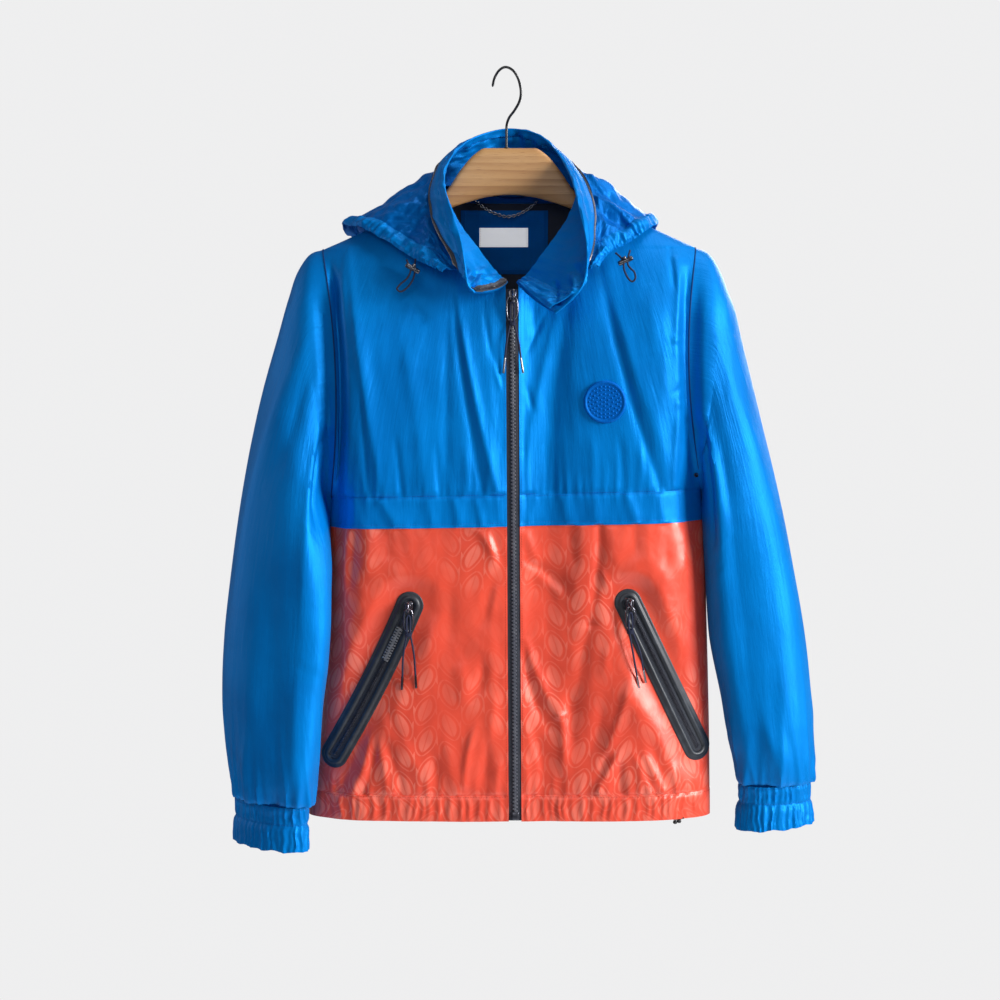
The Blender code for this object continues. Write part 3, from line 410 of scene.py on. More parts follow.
# x, z where it starts; x, z where it ends; bow; widths; height; share at the ends; lean
FRONT_RT = [
    (-209.6, -255.5, -209.7, -491.6, 6, 5, 7, -4, 0.4, 0.9, 0),
    (-191.5, -216.9, -198.4, -482.5, -3, 5, 7, 3.4, 0.5, 0.9, 0.2),
    (-173.1, -345.2, -164.3, -480.2, 0, 2.6, 3.2, -1.6, 0.2, 0.9, 0),
    (-187.5, -204.4, -146.2, -487.1, -4, 6, 9, 3.6, 0.4, 0.8, 0.25),
    (-132, -270.3, -98.6, -487.1, 3, 8, 11, 2.2, 0.2, 0.6, 0.1),
    (-118.4, -264.6, -95.1, -294.1, 0, 8, 7, -3.2, 0.5, 0.1, 0),
    (-107.8, -298.6, -114, -355.4, 0, 13, 12, 1.6, 0.2, 0.1, 0),
    (-73.5, -271.4, -75.8, -489.3, 0, 5, 7, -1.8, 0.2, 0.7, 0),
    (-67.2, -264.6, -32.6, -489.3, -3, 4, 5, -2.6, 0.2, 0.8, 0),
    (-63.7, -251, -17.6, -484.8, -4, 3.8, 6.5, 3.6, 0.3, 0.8, 0.2),
    (-31.8, -268, -18, -353.1, -2, 3.6, 3.4, -2.2, 0.3, 0.1, 0),
    (-26.7, -321.4, -10.8, -373.6, 0, 2.8, 2.6, 1.6, 0.2, 0.2, 0),
    (-164.4, -221.5, -86.6, -253.2, 3, 9, 8, -1.8, 0.2, 0.2, 0),
    (-133.5, -412.1, -125.4, -487.1, 0, 3, 4.5, -1.6, 0, 0.9, 0),
    (-87, -419, -83.4, -487.1, 0, 3, 4.5, -1.4, 0, 0.9, 0), (-54.1, -423.5, -50.2, -487.1, 0, 3, 4, 1.2, 0, 0.9, 0),
]
FRONT_LT = [
    (25.2, -264.6, 24.7, -307.7, 0, 7, 6, -3.2, 0.4, 0.1, 0),
    (51.9, -273.7, 10.4, -484.8, -4, 6, 9, 3.0, 0.3, 0.8, 0.2),
    (39.5, -275.9, 13.4, -330.4, 0, 4, 4, -2.4, 0.3, 0.2, 0),
    (14, -357.7, 25.4, -396.3, 0, 3, 3, -1.8, 0.2, 0.2, 0),
    (64.9, -264.6, 41.5, -484.8, -5, 9, 14, -3.6, 0.3, 0.8, 0),
    (100.2, -228.3, 168.2, -475.7, -6, 5, 7, -3.8, 0.3, 0.8, 0),
    (108.6, -228.3, 180.7, -457.6, -6, 8, 9, 1.8, 0.2, 0.5, 0),
    (155, -248.7, 160.7, -323.6, 0, 12, 12, 2.6, 0.2, 0.2, 0),
    (180.9, -204.4, 186.5, -262.3, 0, 3, 3, -2.2, 0.5, 0.1, 0),
    (189, -216.9, 186.5, -310, 2, 4.5, 5, 3.4, 0.5, 0.6, 0.1),
    (186.5, -310, 192.1, -382.6, 3, 5, 5, 3, 0.6, 0.6, 0), (192.1, -382.6, 184.7, -480.2, -2, 5, 6, 3, 0.6, 0.9, 0),
    (191.1, -323.6, 205.8, -345.2, 0, 3, 3, -1.8, 0.2, 0.3, 0),
    (179.7, -372.4, 197.9, -359.9, 0, 3, 3, -1.6, 0.2, 0.3, 0), (90, -412.1, 93.9, -480.2, 0, 5, 6, 1.6, 0, 0.9, 0),
    (119.8, -412.1, 128, -480.2, 0, 4.5, 6, -1.6, 0, 0.9, 0), (142.8, -423.5, 149, -478, 0, 4, 5, 1.4, 0, 0.9, 0),
    (14.8, -412.1, 10, -484.8, 0, 3.5, 4, -1.4, 0.1, 0.9, 0),
]
# the blue strip under the gather line, and the red fronts
STRIP = [
    (-182, -492, -176, -526, 0, 6, 8, 1.6, 0.8, 0.6, 0.1), (-150, -492, -128, -526, 0, 7, 9, 2.2, 0.9, 0.7, 0.2),
    (-96, -492, -90, -526, 0, 6, 6, 1.4, 0.9, 0.5, 0.0), (-66, -490, -60, -524, 0, 5, 7, 1.8, 0.9, 0.6, 0.0),
    (-42, -490, -34, -524, 0, 5, 7, 1.8, 0.9, 0.7, 0.0), (-18, -488, -14, -524, 0, 4, 4, 1.0, 0.9, 0.6, 0.0),
    (24, -488, 20, -522, 0, 6, 7, 1.6, 0.9, 0.7, 0.0), (56, -486, 62, -520, 0, 6, 8, 2.0, 0.9, 0.6, 0.1),
    (95, -486, 92, -520, 0, 6, 8, 1.6, 0.9, 0.5, 0.0), (128, -484, 140, -518, 0, 6, 9, 2.0, 0.9, 0.6, 0.1),
    (166, -484, 172, -518, 0, 6, 7, 1.4, 0.9, 0.6, 0.0), (196, -482, 200, -516, 0, 5, 6, 1.4, 0.9, 0.6, 0.0),
]
RED_RT = [
    (-40.6, -524.6, -18.5, -568.4, 4, 6, 6, 3, 0.6, 0.15, 0.2),
    (-25.9, -524.6, -12.2, -565.6, 0, 5, 5, -2.4, 0.6, 0.1, 0),
    (-195.9, -526.9, -199.4, -622.7, 0, 7, 9, 2.8, 0.7, 0.1, 0),
    (-178.9, -526.9, -183.9, -599.9, 0, 6, 8, -2.8, 0.7, 0.05, 0),
    (-160.5, -526.9, -166.3, -583.9, 0, 7, 9, 1.5, 0.7, 0, 0),
    (-140.5, -529.2, -144, -563.4, 0, 6, 8, -1.2, 0.6, 0, 0),
    (-70.5, -577.1, -74.6, -675.1, 0, 9, 12, -1.6, 0.1, 0.1, 0),
    (-94.6, -622.7, -98.6, -713.9, 0, 13, 16, 1.8, 0.1, 0.1, 0),
    (-23.7, -572.5, -40.8, -645.5, 3, 7, 9, -2.2, 0.2, 0.1, 0),
    (-17.9, -583.9, -25.9, -627.2, 0, 5, 5, 1.4, 0.1, 0.1, 0),
    (-36.8, -666, -47.1, -720.8, 5, 6, 8, -3, 0.2, 0.3, 0), (-57.3, -668.3, -60.2, -727.6, 0, 8, 9, 2, 0.1, 0.2, 0),
    (-43.5, -745.8, -56.7, -816.6, -3, 4, 5, 3, 0.2, 0.7, 0.2),
    (-29.9, -755, -38.5, -825.7, 2, 6, 7, -3, 0.2, 0.7, 0),
    (-19.7, -702.5, -28.8, -777.8, 0, 6, 8, 1.8, 0.1, 0.3, 0),
    (-17.3, -782.3, -21.3, -825.7, 0, 4, 5, 2, 0.1, 0.8, 0),
    (-171.4, -748.1, -198, -826.1, 3, 5, 6, -3.8, 0.2, 0.9, 0),
    (-183.9, -759.5, -213.1, -824.5, -2, 6, 6, 2.2, 0.2, 0.7, 0),
    (-161, -750.4, -181.9, -826.1, 3, 4, 5, 3.2, 0.3, 0.8, 0),
    (-154.9, -761.8, -169, -826.1, 2, 4, 4, -2.6, 0.2, 0.9, 0),
    (-152.6, -761.8, -141.1, -826.1, 0, 4, 5, 2.4, 0.2, 0.8, 0),
    (-146.8, -755, -124, -825.7, 0, 5, 5, -2.2, 0.1, 0.7, 0),
    (-133.2, -729.9, -95, -824.5, -4, 9, 10, 2.4, 0.2, 0.3, 0),
    (-149.2, -713.9, -113.3, -777.8, -3, 9, 10, -2, 0.2, 0.1, 0),
    (-79.6, -750.4, -67.6, -824.5, 0, 7, 8, 1.8, 0.1, 0.6, 0),
    (-92.6, -777.8, -81.8, -825.7, 0, 6, 7, -1.6, 0.1, 0.6, 0),
    (-217.5, -682, -209.6, -720.8, 0, 5, 7, 1.6, 0.2, 0.1, 0),
    (-190.7, -659.2, -209.6, -691.1, 0, 6, 7, -1.4, 0.1, 0.1, 0),
]
RED_LT = [
    (98.4, -516.8, 87.4, -632.7, 3, 5, 8, -3.6, 0.8, 0.7, 0),
    (87.4, -632.7, 67.5, -762.4, -4, 8, 11, -3.2, 0.7, 0.1, 0),
    (78.4, -521.5, 64.5, -623.4, 2, 9, 16, 2.4, 0.7, 0.1, 0.1),
    (62.9, -521.5, 72.8, -579.4, 0, 7, 8, -1.6, 0.7, 0.1, 0),
    (14.4, -528.4, 28.2, -570.1, 0, 6, 7, 2.2, 0.5, 0.1, 0), (8.5, -557.4, 65.3, -600.2, 3, 5, 7, -2, 0.4, 0.1, 0),
    (7.5, -563.6, 62.3, -609.5, 3, 6, 8, 1.8, 0.4, 0.1, 0),
    (97.2, -565.5, 116.9, -607.2, 0, 4, 4, 2.2, 0.3, 0.2, 0),
    (113.3, -521.5, 117.3, -572.4, 0, 8, 9, 1.4, 0.7, 0.05, 0),
    (171.8, -519.2, 177.6, -579.4, 0, 7, 9, -2, 0.8, 0.1, 0),
    (199.6, -519.2, 196.2, -591, 0, 7, 8, 2.8, 0.8, 0.1, 0),
    (213, -519.2, 212.4, -586.3, 0, 4, 5, -1.6, 0.8, 0.1, 0),
    (137.1, -519.2, 141.1, -563.2, 0, 7, 8, -1.4, 0.7, 0, 0),
    (153.3, -519.2, 154.4, -572.4, 0, 7, 9, 1.4, 0.7, 0, 0),
    (13.7, -651.2, 50.8, -736.9, -5, 6, 8, 4.2, 0.4, 0.7, 0.3),
    (52, -736.9, 54.7, -804.1, 3, 6, 6, 3.4, 0.8, 0.3, 0.2),
    (8.4, -665.1, 39.8, -753.1, -4, 6, 7, -2.6, 0.3, 0.5, 0),
    (62.9, -695.2, 67, -790.2, 0, 7, 8, -2.4, 0.1, 0.2, 0),
    (134.2, -688.3, 95.4, -794.8, 5, 6, 7, 3.4, 0.2, 0.3, 0.2),
    (104, -711.4, 83.7, -790.2, 3, 8, 9, -2.4, 0.2, 0.2, 0),
    (121, -702.2, 146.4, -757.7, 5, 9, 10, 2.4, 0.2, 0.2, 0),
    (109.9, -646.6, 104.6, -702.2, -3, 6, 7, 1.6, 0.2, 0.1, 0),
    (126.4, -769.3, 96.1, -823.8, -2, 4, 5, 3.4, 0.2, 0.7, 0.2),
    (134.2, -776.3, 156.8, -825.4, 2, 4, 5, 3, 0.2, 0.8, -0.2),
    (145.3, -776.3, 171.8, -825.4, 2, 4, 5, 2.4, 0.2, 0.8, 0),
    (120.9, -785.5, 121, -825.4, 0, 5, 6, -3.2, 0.2, 0.9, 0),
    (108.1, -776.3, 94.3, -811, 0, 5, 5, -2.2, 0.1, 0.4, 0),
    (140.3, -787.9, 163.2, -825.4, 0, 3.5, 4, -2.2, 0.1, 0.8, 0),
    (156.8, -760.1, 173.5, -818, 0, 7, 8, -2.2, 0.2, 0.4, 0),
    (180.6, -755.4, 201.4, -786.7, 0, 4, 4, 2.6, 0.3, 0.2, -0.2),
    (180, -787.9, 188.6, -824.9, 0, 5, 6, 1.8, 0.1, 0.8, 0),
    (198.5, -662.8, 188.8, -699.8, 0, 5, 5, -1.8, 0.2, 0.1, 0),
    (23, -753.1, 38.6, -824.9, 0, 8, 9, -2.4, 0.2, 0.6, 0), (8.4, -736.9, 28.2, -804.1, 0, 6, 7, 2, 0.3, 0.3, 0),
    (10.1, -776.3, 15.5, -824.9, 0, 4, 5, 1.6, 0.1, 0.8, 0),
]
WAIST_MARKS = gather_marks(-215, 222, 9.5, 11)
WAIST_LOW = gather_marks(-215, 225, 12.0, 12)
HEM_MARKS = gather_marks(-240, 235, 9.0, 13)
HEM_UP = gather_marks(-240, 235, 10.5, 14)
RED_MARKS = gather_marks(-215, 225, 19.0, 15)
ARM_MARKS = gather_marks(-500, -205, 7.5, 16)


def pocket_near(side, x, z):
    """Distance from the pocket's middle line."""
    (xa, za), (xb, zb) = POCKET[side]
    dx, dz = xb - xa, zb - za
    t = np.clip(((x - xa) * dx + (z - za) * dz) / (dx * dx + dz * dz), 0, 1)
    return np.hypot(x - xa - t * dx, z - za - t * dz)


def front_relief(side, x, z):
    """Height of the front's folds over the CAD's surface."""
    edge = edge_reach(side, "F", z)
    h = chest_x(x) * chest_z(z)
    s = SIGN[side]
    waist, red = line_z(WAIST, x), line_z(RED, x)
    up = z > waist
    blue = z > red
    top = creases(FRONT_RT if side == "rt" else FRONT_LT, x, z)
    low = creases(RED_RT if side == "rt" else RED_LT, x, z)
    strip = creases(STRIP, x, z)
    h = h + np.where(up, 0.88 * top, 0) + np.where(blue & ~up, strip, 0) + np.where(~blue, 0.95 * low, 0)
    # gathers at the waist, more in the middle of each front than near the zip
    weight = 0.65 + 0.35 * np.cos((np.abs(x) - 110) / 60.0)
    h = h + np.where(up, tucks(WAIST_MARKS, x, z - waist, 1.75, 34) * weight, 0)
    h = h + np.where(~up & blue, tucks(WAIST_MARKS, x, waist - z, 1.2, 11), 0)
    h = h + np.where(~up & blue, tucks(WAIST_LOW, x, z - red, 0.7, 14), 0)
    h = h + np.where(~blue, tucks(RED_MARKS, x, red - z, 0.7, 30), 0)
    # hem: tucks rise from the stitch line, and ridges cross the casing
    above = z > HEM_TOP
    h = h + np.where(~blue & above, tucks(HEM_UP, x, z - HEM_TOP, 2.0, 26), 0)
    v = (HEM_TOP - z) / (HEM_TOP - HEM_Z)
    h = h + np.where(~above, tucks(HEM_MARKS, x + 3.0 * noise(v * 1.5, x * 0.03, 5), 0 * z, 2.2, 30)
                     * (0.22 + 0.78 * np.sin(np.pi * np.clip(v, 0, 1)) ** 0.8), 0)
    h = h - 1.3 * np.exp(-((z - waist) / 2.2) ** 2) - 1.2 * np.exp(-((z - HEM_TOP) / 2.4) ** 2)
    # the sleeve seam pulls short tucks across
    from_edge = np.clip(edge - np.abs(x), 0, None)
    arm = np.where(z > ARMHOLE[side]["iz"], 1.0, 0.0)
    h = h + arm * tucks(ARM_MARKS, z, from_edge, 1.5 if side == "lt" else 0.9, 9) * smooth(from_edge / 2.0)
    # light unevenness everywhere
    h = h + np.where(blue, 0.9 * noise(x / 34, z / 90, 3) + 0.35 * noise(x / 13, z / 40, 4),
                     1.0 * noise((x + 0.4 * z) / 42, z / 60, 6) + 0.38 * noise(x / 15, (z - x * 0.5) / 26, 7)
                     + 0.16 * crinkle(x / 30, z / 34, 8) + 0.34 * crinkle(x / 17 + z / 60, z / 22, 10))
    h = h * smooth(from_edge / 13.0)
    # the cloth sinks in beside the armhole seam, down to the blue cloth's edge
    zone = smooth((-215 - z) / 50.0) * smooth((z + 545) / 30.0)
    h = h - (12.0 if side == "rt" else 5.0) * zone * np.exp(-((from_edge - 7.5) / 5.5) ** 2) * smooth(from_edge / 4.0)
    # the zip's stiff edge and the welded pocket hold the cloth flat
    h = h * smooth((np.abs(x) - 5.0) / 9.0) + np.where(blue, 0.35, 0.5) * noise(z / 16.0, x * 0 + s * 3.3, 9) \
        * np.exp(-((np.abs(x) - 12) / 5.0) ** 2)
    near = pocket_near(side, x, z)
    h = h * (0.12 + 0.88 * smooth((near - 15.0) / 26.0))
    return h


# ---------------------------------------------------------------- folds of the back
BACK = [
    (-186, -222, -120, -484, -8, 8, 12, 3.6, 0.4, 0.7, 0.3), (-150, -214, -70, -484, 6, 10, 14, 3.0, 0.3, 0.7, 0.1),
    (-60, -240, -40, -480, 0, 12, 12, -2.6, 0.2, 0.6, 0.0), (-96, -260, -92, -484, 4, 10, 12, -2.4, 0.2, 0.6, 0.0),
    (-24, -300, -12, -484, 0, 9, 10, 2.8, 0.1, 0.8, 0.1), (28, -280, 36, -484, 3, 9, 12, -2.2, 0.2, 0.7, 0.0),
    (70, -240, 58, -484, -4, 10, 12, 3.4, 0.2, 0.7, 0.2), (110, -230, 100, -480, 5, 10, 13, -2.6, 0.3, 0.7, 0.0),
    (150, -222, 138, -482, -6, 8, 11, 3.6, 0.4, 0.8, -0.2), (188, -222, 176, -478, 4, 7, 9, 2.8, 0.4, 0.8, 0.1),
    (0, -360, 6, -484, 0, 6, 8, 1.6, 0.0, 0.9, 0.0), (-136, -380, -142, -486, 0, 6, 8, 1.8, 0.0, 0.9, 0.0),
    (-170, -530, -150, -700, 6, 11, 14, 3.0, 0.6, 0.1, 0.1), (-110, -528, -124, -820, 6, 13, 15, -3.2, 0.5, 0.5, 0.0),
    (-60, -526, -40, -760, -6, 12, 15, 3.4, 0.5, 0.2, 0.2), (-8, -526, -22, -822, 5, 11, 12, -2.6, 0.5, 0.6, 0.0),
    (40, -526, 66, -740, 6, 12, 15, 3.6, 0.6, 0.2, 0.2), (98, -526, 86, -822, -6, 12, 14, -3.0, 0.5, 0.6, 0.0),
    (140, -524, 160, -760, 5, 12, 14, 3.0, 0.6, 0.2, 0.1), (190, -524, 184, -740, 3, 9, 11, 2.2, 0.5, 0.2, 0.1),
    (-80, -740, -60, -826, 0, 7, 8, 2.6, 0.1, 0.9, 0.2), (20, -730, 4, -826, 0, 7, 8, 2.6, 0.1, 0.9, 0.2),
    (120, -750, 134, -826, 0, 7, 8, 2.4, 0.1, 0.9, 0.0), (-190, -750, -180, -826, 0, 6, 8, 2.2, 0.1, 0.9, 0.0),
]
BACK_WAIST = gather_marks(-215, 222, 10.5, 21)
BACK_LOW = gather_marks(-215, 225, 13.0, 22)
BACK_HEM = gather_marks(-240, 235, 9.5, 23)
BACK_UP = gather_marks(-240, 235, 11.0, 24)


def back_relief(side, x, z):
    edge = edge_reach(side, "B", z)
    waist, red = line_z(WAIST, x), line_z(RED, x)
    up, blue, above = z > waist, z > red, z > HEM_TOP
    h = creases([r for r in BACK if r[1] > -500], x, z) * up
    h = h + creases([r for r in BACK if r[1] < -500], x, z) * ~blue
    h = h + np.where(up, tucks(BACK_WAIST, x, z - waist, 1.7, 36), 0)
    h = h + np.where(~up & blue, tucks(BACK_WAIST, x, waist - z, 1.2, 11), 0)
    h = h + np.where(~blue, tucks(BACK_LOW, x, red - z, 1.2, 40), 0)
    h = h + np.where(~blue & above, tucks(BACK_UP, x, z - HEM_TOP, 2.0, 28), 0)
    v = (HEM_TOP - z) / (HEM_TOP - HEM_Z)
    h = h + np.where(~above, tucks(BACK_HEM, x + 3.0 * noise(v * 1.5, x * 0.03, 25), 0 * z, 3.0, 30)
                     * (0.22 + 0.78 * np.sin(np.pi * np.clip(v, 0, 1)) ** 0.8), 0)
    h = h - 1.3 * np.exp(-((z - waist) / 2.2) ** 2) - 1.2 * np.exp(-((z - HEM_TOP) / 2.4) ** 2)
    h = h + np.where(blue, 0.9 * noise(x / 36, z / 80, 26) + 0.35 * noise(x / 13, z / 40, 27),
                     1.3 * noise((x - 0.3 * z) / 38, z / 55, 28) + 0.5 * noise(x / 14, (z + x * 0.5) / 24, 29)
                     + 0.35 * crinkle(x / 26, z / 30, 30))
    h = h * smooth((-150 - z) / 40.0)
    return h * smooth(np.clip(edge - np.abs(x), 0, None) / 13.0)


# ---------------------------------------------------------------- sleeves
def ring(row, n, power=2.15):
    ox, oz, ix, iz, yo, yi, half = row
    o, i = np.array([ox, yo, oz], float), np.array([ix, yi, iz], float)
    c, h = (o + i) / 2, (o - i) / 2
    t = 2 * np.pi * np.arange(n) / n
    ct, st = np.cos(t), np.sin(t)
    return (c + h * (np.sign(ct) * np.abs(ct) ** (2 / power))[:, None]
            + np.array([0, -1.0, 0]) * half * (np.sign(st) * np.abs(st) ** (2 / power))[:, None])


def arm_ring(side, n):
    a = ARMHOLE[side]
    t = 2 * np.pi * np.arange(n) / n
    ct, st = np.cos(t), np.sin(t)
    c = np.sign(ct) * np.abs(ct) ** (2 / 2.15)
    z = (a["oz"] + a["iz"]) / 2 + (a["oz"] - a["iz"]) / 2 * c
    xf, df = arm_edge(side, "F", z)
    xb, db = arm_edge(side, "B", z)
    x = np.where(st >= 0, xf, xb)
    d = np.where(st >= 0, -df, db)
    return np.stack([SIGN[side] * (x + 0.2), d, z], -1)


# folds of a sleeve: round it in mm from the middle of its front (towards the body is +),
# and down it in mm from the shoulder
SLEEVE_FOLDS = {
    "rt": [
        (74, -8, 52, -150, 4, 9, 12, -5.0, 0.7, 0.2, 0.0), (52, -30, 44, -320, -6, 9, 16, 4.2, 0.5, 0.3, 0.2),
        (96, -120, 70, -330, 0, 14, 18, 3.0, 0.2, 0.2, 0.0), (-10, -20, -40, -180, 6, 14, 22, -2.6, 0.3, 0.1, 0.0),
        (-52, -30, -66, -330, -5, 16, 22, 3.2, 0.3, 0.2, 0.1), (-14, -220, 6, -470, 8, 20, 26, -3.4, 0.1, 0.1, 0.0),
        (36, -330, 30, -520, 5, 16, 18, 3.0, 0.1, 0.2, 0.2), (-36, -420, -22, -600, 4, 10, 9, 3.4, 0.1, 0.7, 0.2),
        (26, -500, -6, -606, 3, 9, 9, 4.0, 0.2, 0.8, 0.25), (10, -470, 12, -600, 0, 10, 9, -3.0, 0.1, 0.6, 0.0),
        (54, -470, 40, -604, 2, 8, 8, 2.6, 0.1, 0.8, 0.1), (-62, -480, -50, -604, 2, 8, 8, 2.4, 0.1, 0.8, 0.1),
        (150, -60, 140, -420, 8, 18, 22, 4.0, 0.3, 0.2, 0.1), (-120, -60, -130, -380, 8, 16, 20, 3.6, 0.3, 0.2, 0.1),
        (-150, -300, -140, -600, 8, 16, 14, -3.4, 0.2, 0.6, 0.0), (120, -360, 110, -600, 8, 14, 14, 3.6, 0.2, 0.6, 0.1),
    ],
    "lt": [
        (24, -90, 20, -540, 0, 16, 20, -4.2, 0.2, 0.3, 0.0), (-22, -70, -36, -560, 0, 24, 30, 5.6, 0.2, 0.3, -0.1),
        (74, -6, 46, -210, 5, 8, 12, -5.5, 0.8, 0.2, 0.0), (52, -10, 30, -180, 3, 7, 12, 3.6, 0.6, 0.2, 0.25),
        (28, -30, 20, -300, 4, 12, 20, -2.2, 0.3, 0.1, 0.0), (-30, -30, -44, -420, -8, 18, 26, 2.8, 0.3, 0.1, -0.2),
        (60, -200, 62, -430, 0, 16, 20, -3.6, 0.2, 0.2, 0.0), (8, -300, 30, -480, 0, 18, 22, 2.0, 0.1, 0.1, 0.0),
        (10, -400, -20, -560, 5, 10, 12, 3.6, 0.1, 0.3, -0.3), (-4, -470, -34, -590, 3, 9, 10, -3.0, 0.1, 0.6, 0.0),
        (44, -450, 30, -584, 3, 10, 9, 3.2, 0.1, 0.8, 0.2), (18, -500, 14, -584, 0, 7, 7, 2.6, 0.1, 0.8, 0.1),
        (-54, -460, -58, -584, 2, 9, 9, 2.6, 0.1, 0.8, 0.1), (68, -520, 62, -584, 0, 7, 7, 2.2, 0.1, 0.8, 0.0),
        (150, -60, 140, -400, 8, 18, 22, 4.0, 0.3, 0.2, 0.1), (-120, -60, -130, -380, 8, 16, 20, 3.4, 0.3, 0.2, 0.1),
        (-150, -300, -140, -580, 8, 16, 14, -3.4, 0.2, 0.6, 0.0), (120, -340, 110, -580, 8, 14, 14, 3.6, 0.2, 0.6, 0.1),
    ],
}


def rings_to_surface(rings, rows):
    """Smooth surface through rings: (n, rows, 3), rows spread by distance."""
    R = np.array(rings)                       # (m, n, 3)
    centre = R.mean(1)
    step = np.linalg.norm(np.diff(centre, axis=0), axis=1)
    step = np.maximum(step, 1.0)
    at = np.concatenate([[0], np.cumsum(step)])
    want = np.linspace(0, at[-1], rows)
    m = len(R)
    i = np.clip(np.searchsorted(at, want, side="right") - 1, 0, m - 2)
    u = ((want - at[i]) / (at[i + 1] - at[i]))[:, None, None]
    h = (at[1:] - at[:-1])[:, None, None]
    d = (R[1:] - R[:-1]) / h
    M = np.zeros_like(R)
    M[0], M[-1] = d[0], d[-1]
    hw = h[:-1] + h[1:]
    M[1:-1] = (d[:-1] * h[1:] + d[1:] * h[:-1]) / hw
    hi = h[i]
    P = ((1 + 2 * u) * (1 - u) ** 2 * R[i] + u * (1 - u) ** 2 * hi * M[i]
         + u * u * (3 - 2 * u) * R[i + 1] + u * u * (u - 1) * hi * M[i + 1])
    return P.transpose(1, 0, 2), want          # (n, rows, 3)


def round_measure(P):
    """Distance round each ring from the middle of its front (a quarter of the way)."""
    n = P.shape[0]
    seg = np.linalg.norm(np.roll(P, -1, 0) - P, axis=-1)
    run = np.concatenate([np.zeros((1, P.shape[1])), np.cumsum(seg, 0)[:-1]])
    total = seg.sum(0)
    a = run - run[n // 4]
    a = (a + total / 2) % total - total / 2
    return a, total


def flat_pattern(P):
    """Cloth coordinates of an open grid, in decimetres, for its weave."""
    du = np.linalg.norm(np.diff(P, axis=0), axis=-1)
    dv = np.linalg.norm(np.diff(P, axis=1), axis=-1)
    u = np.concatenate([np.zeros((1, P.shape[1])), np.cumsum(du, 0)])
    v = np.concatenate([np.zeros((P.shape[0], 1)), np.cumsum(dv, 1)], 1)
    return np.stack([u, -v], -1) / 100.0

# ---------------------------------------------------------------- materials


class Nodes:
    """Small helper for building a node material."""

    def __init__(self, name):
        self.mat = bpy.data.materials.new(name)
        self.mat.use_nodes = True
        self.tree = self.mat.node_tree
        self.tree.nodes.clear()
        self.out = self.tree.nodes.new("ShaderNodeOutputMaterial")
        self.bsdf = self.tree.nodes.new("ShaderNodeBsdfPrincipled")
        self.link(self.bsdf.outputs[0], self.out.inputs["Surface"])

    def link(self, a, b):
        self.tree.links.new(a, b)

    def new(self, kind, **values):
        node = self.tree.nodes.new(kind)
        for key, value in values.items():
            setattr(node, key, value)
        return node

    def put(self, socket, value):
        if isinstance(value, (int, float)):
            socket.default_value = value
        elif isinstance(value, (tuple, list)):
            n = len(socket.default_value)
            socket.default_value = tuple(value) + (1.0,) * (n - len(value))
        else:
            self.link(value, socket)

    def math(self, op, a, b=None, c=None, clamp=False):
        node = self.new("ShaderNodeMath", operation=op, use_clamp=clamp)
        for socket, value in zip(node.inputs, (a, b, c)):
            if value is not None:
                self.put(socket, value)
        return node.outputs[0]

    def mix(self, t, a, b):
        node = self.new("ShaderNodeMix", data_type="RGBA")
        self.put(node.inputs[0], t)
        self.put(node.inputs[6], a)
        self.put(node.inputs[7], b)
        return node.outputs[2]

    def ramp(self, value, lo, hi, a=0.0, b=1.0):
        node = self.new("ShaderNodeMapRange", interpolation_type="SMOOTHSTEP")
        for socket, v in zip(node.inputs, (value, lo, hi, a, b)):
            self.put(socket, v)
        return node.outputs[0]

    def place(self, uv=None):
        if uv:
            return self.new("ShaderNodeUVMap", uv_map=uv).outputs[0]
        return self.new("ShaderNodeTexCoord").outputs["Object"]

    def scaled(self, vector, by):
        node = self.new("ShaderNodeMapping")
        self.link(vector, node.inputs[0])
        node.inputs["Scale"].default_value = by
        return node.outputs[0]

    def noise(self, vector, scale, detail=2.0, rough=0.5, distortion=0.0):
        node = self.new("ShaderNodeTexNoise")
        self.link(vector, node.inputs["Vector"])
        node.inputs["Scale"].default_value = scale
        node.inputs["Detail"].default_value = detail
        node.inputs["Roughness"].default_value = rough
        node.inputs["Distortion"].default_value = distortion
        return node.outputs[0]

    def bump(self, height, distance, strength=1.0, after=None):
        node = self.new("ShaderNodeBump")
        node.inputs["Distance"].default_value = distance
        node.inputs["Strength"].default_value = strength
        self.link(height, node.inputs["Height"])
        if after is not None:
            self.link(after, node.inputs["Normal"])
        return node.outputs[0]

    def finish(self, colour, rough, normal=None, **fixed):
        self.put(self.bsdf.inputs["Base Color"], colour)
        self.put(self.bsdf.inputs["Roughness"], rough)
        if normal is not None:
            self.link(normal, self.bsdf.inputs["Normal"])
        for key, value in fixed.items():
            self.put(self.bsdf.inputs[key.replace("_", " ")], value)
        return self.mat


def plain_weave(n, uv, per_dm):
    """Height of a plain weave from the cloth's own coordinates."""
    sep = n.new("ShaderNodeSeparateXYZ")
    n.link(n.scaled(uv, (per_dm, per_dm, 1.0)), sep.inputs[0])
    a = n.math("SINE", n.math("MULTIPLY", sep.outputs[0], 2 * math.pi))
    b = n.math("SINE", n.math("MULTIPLY", sep.outputs[1], 2 * math.pi))
    return n.math("MULTIPLY", a, b)


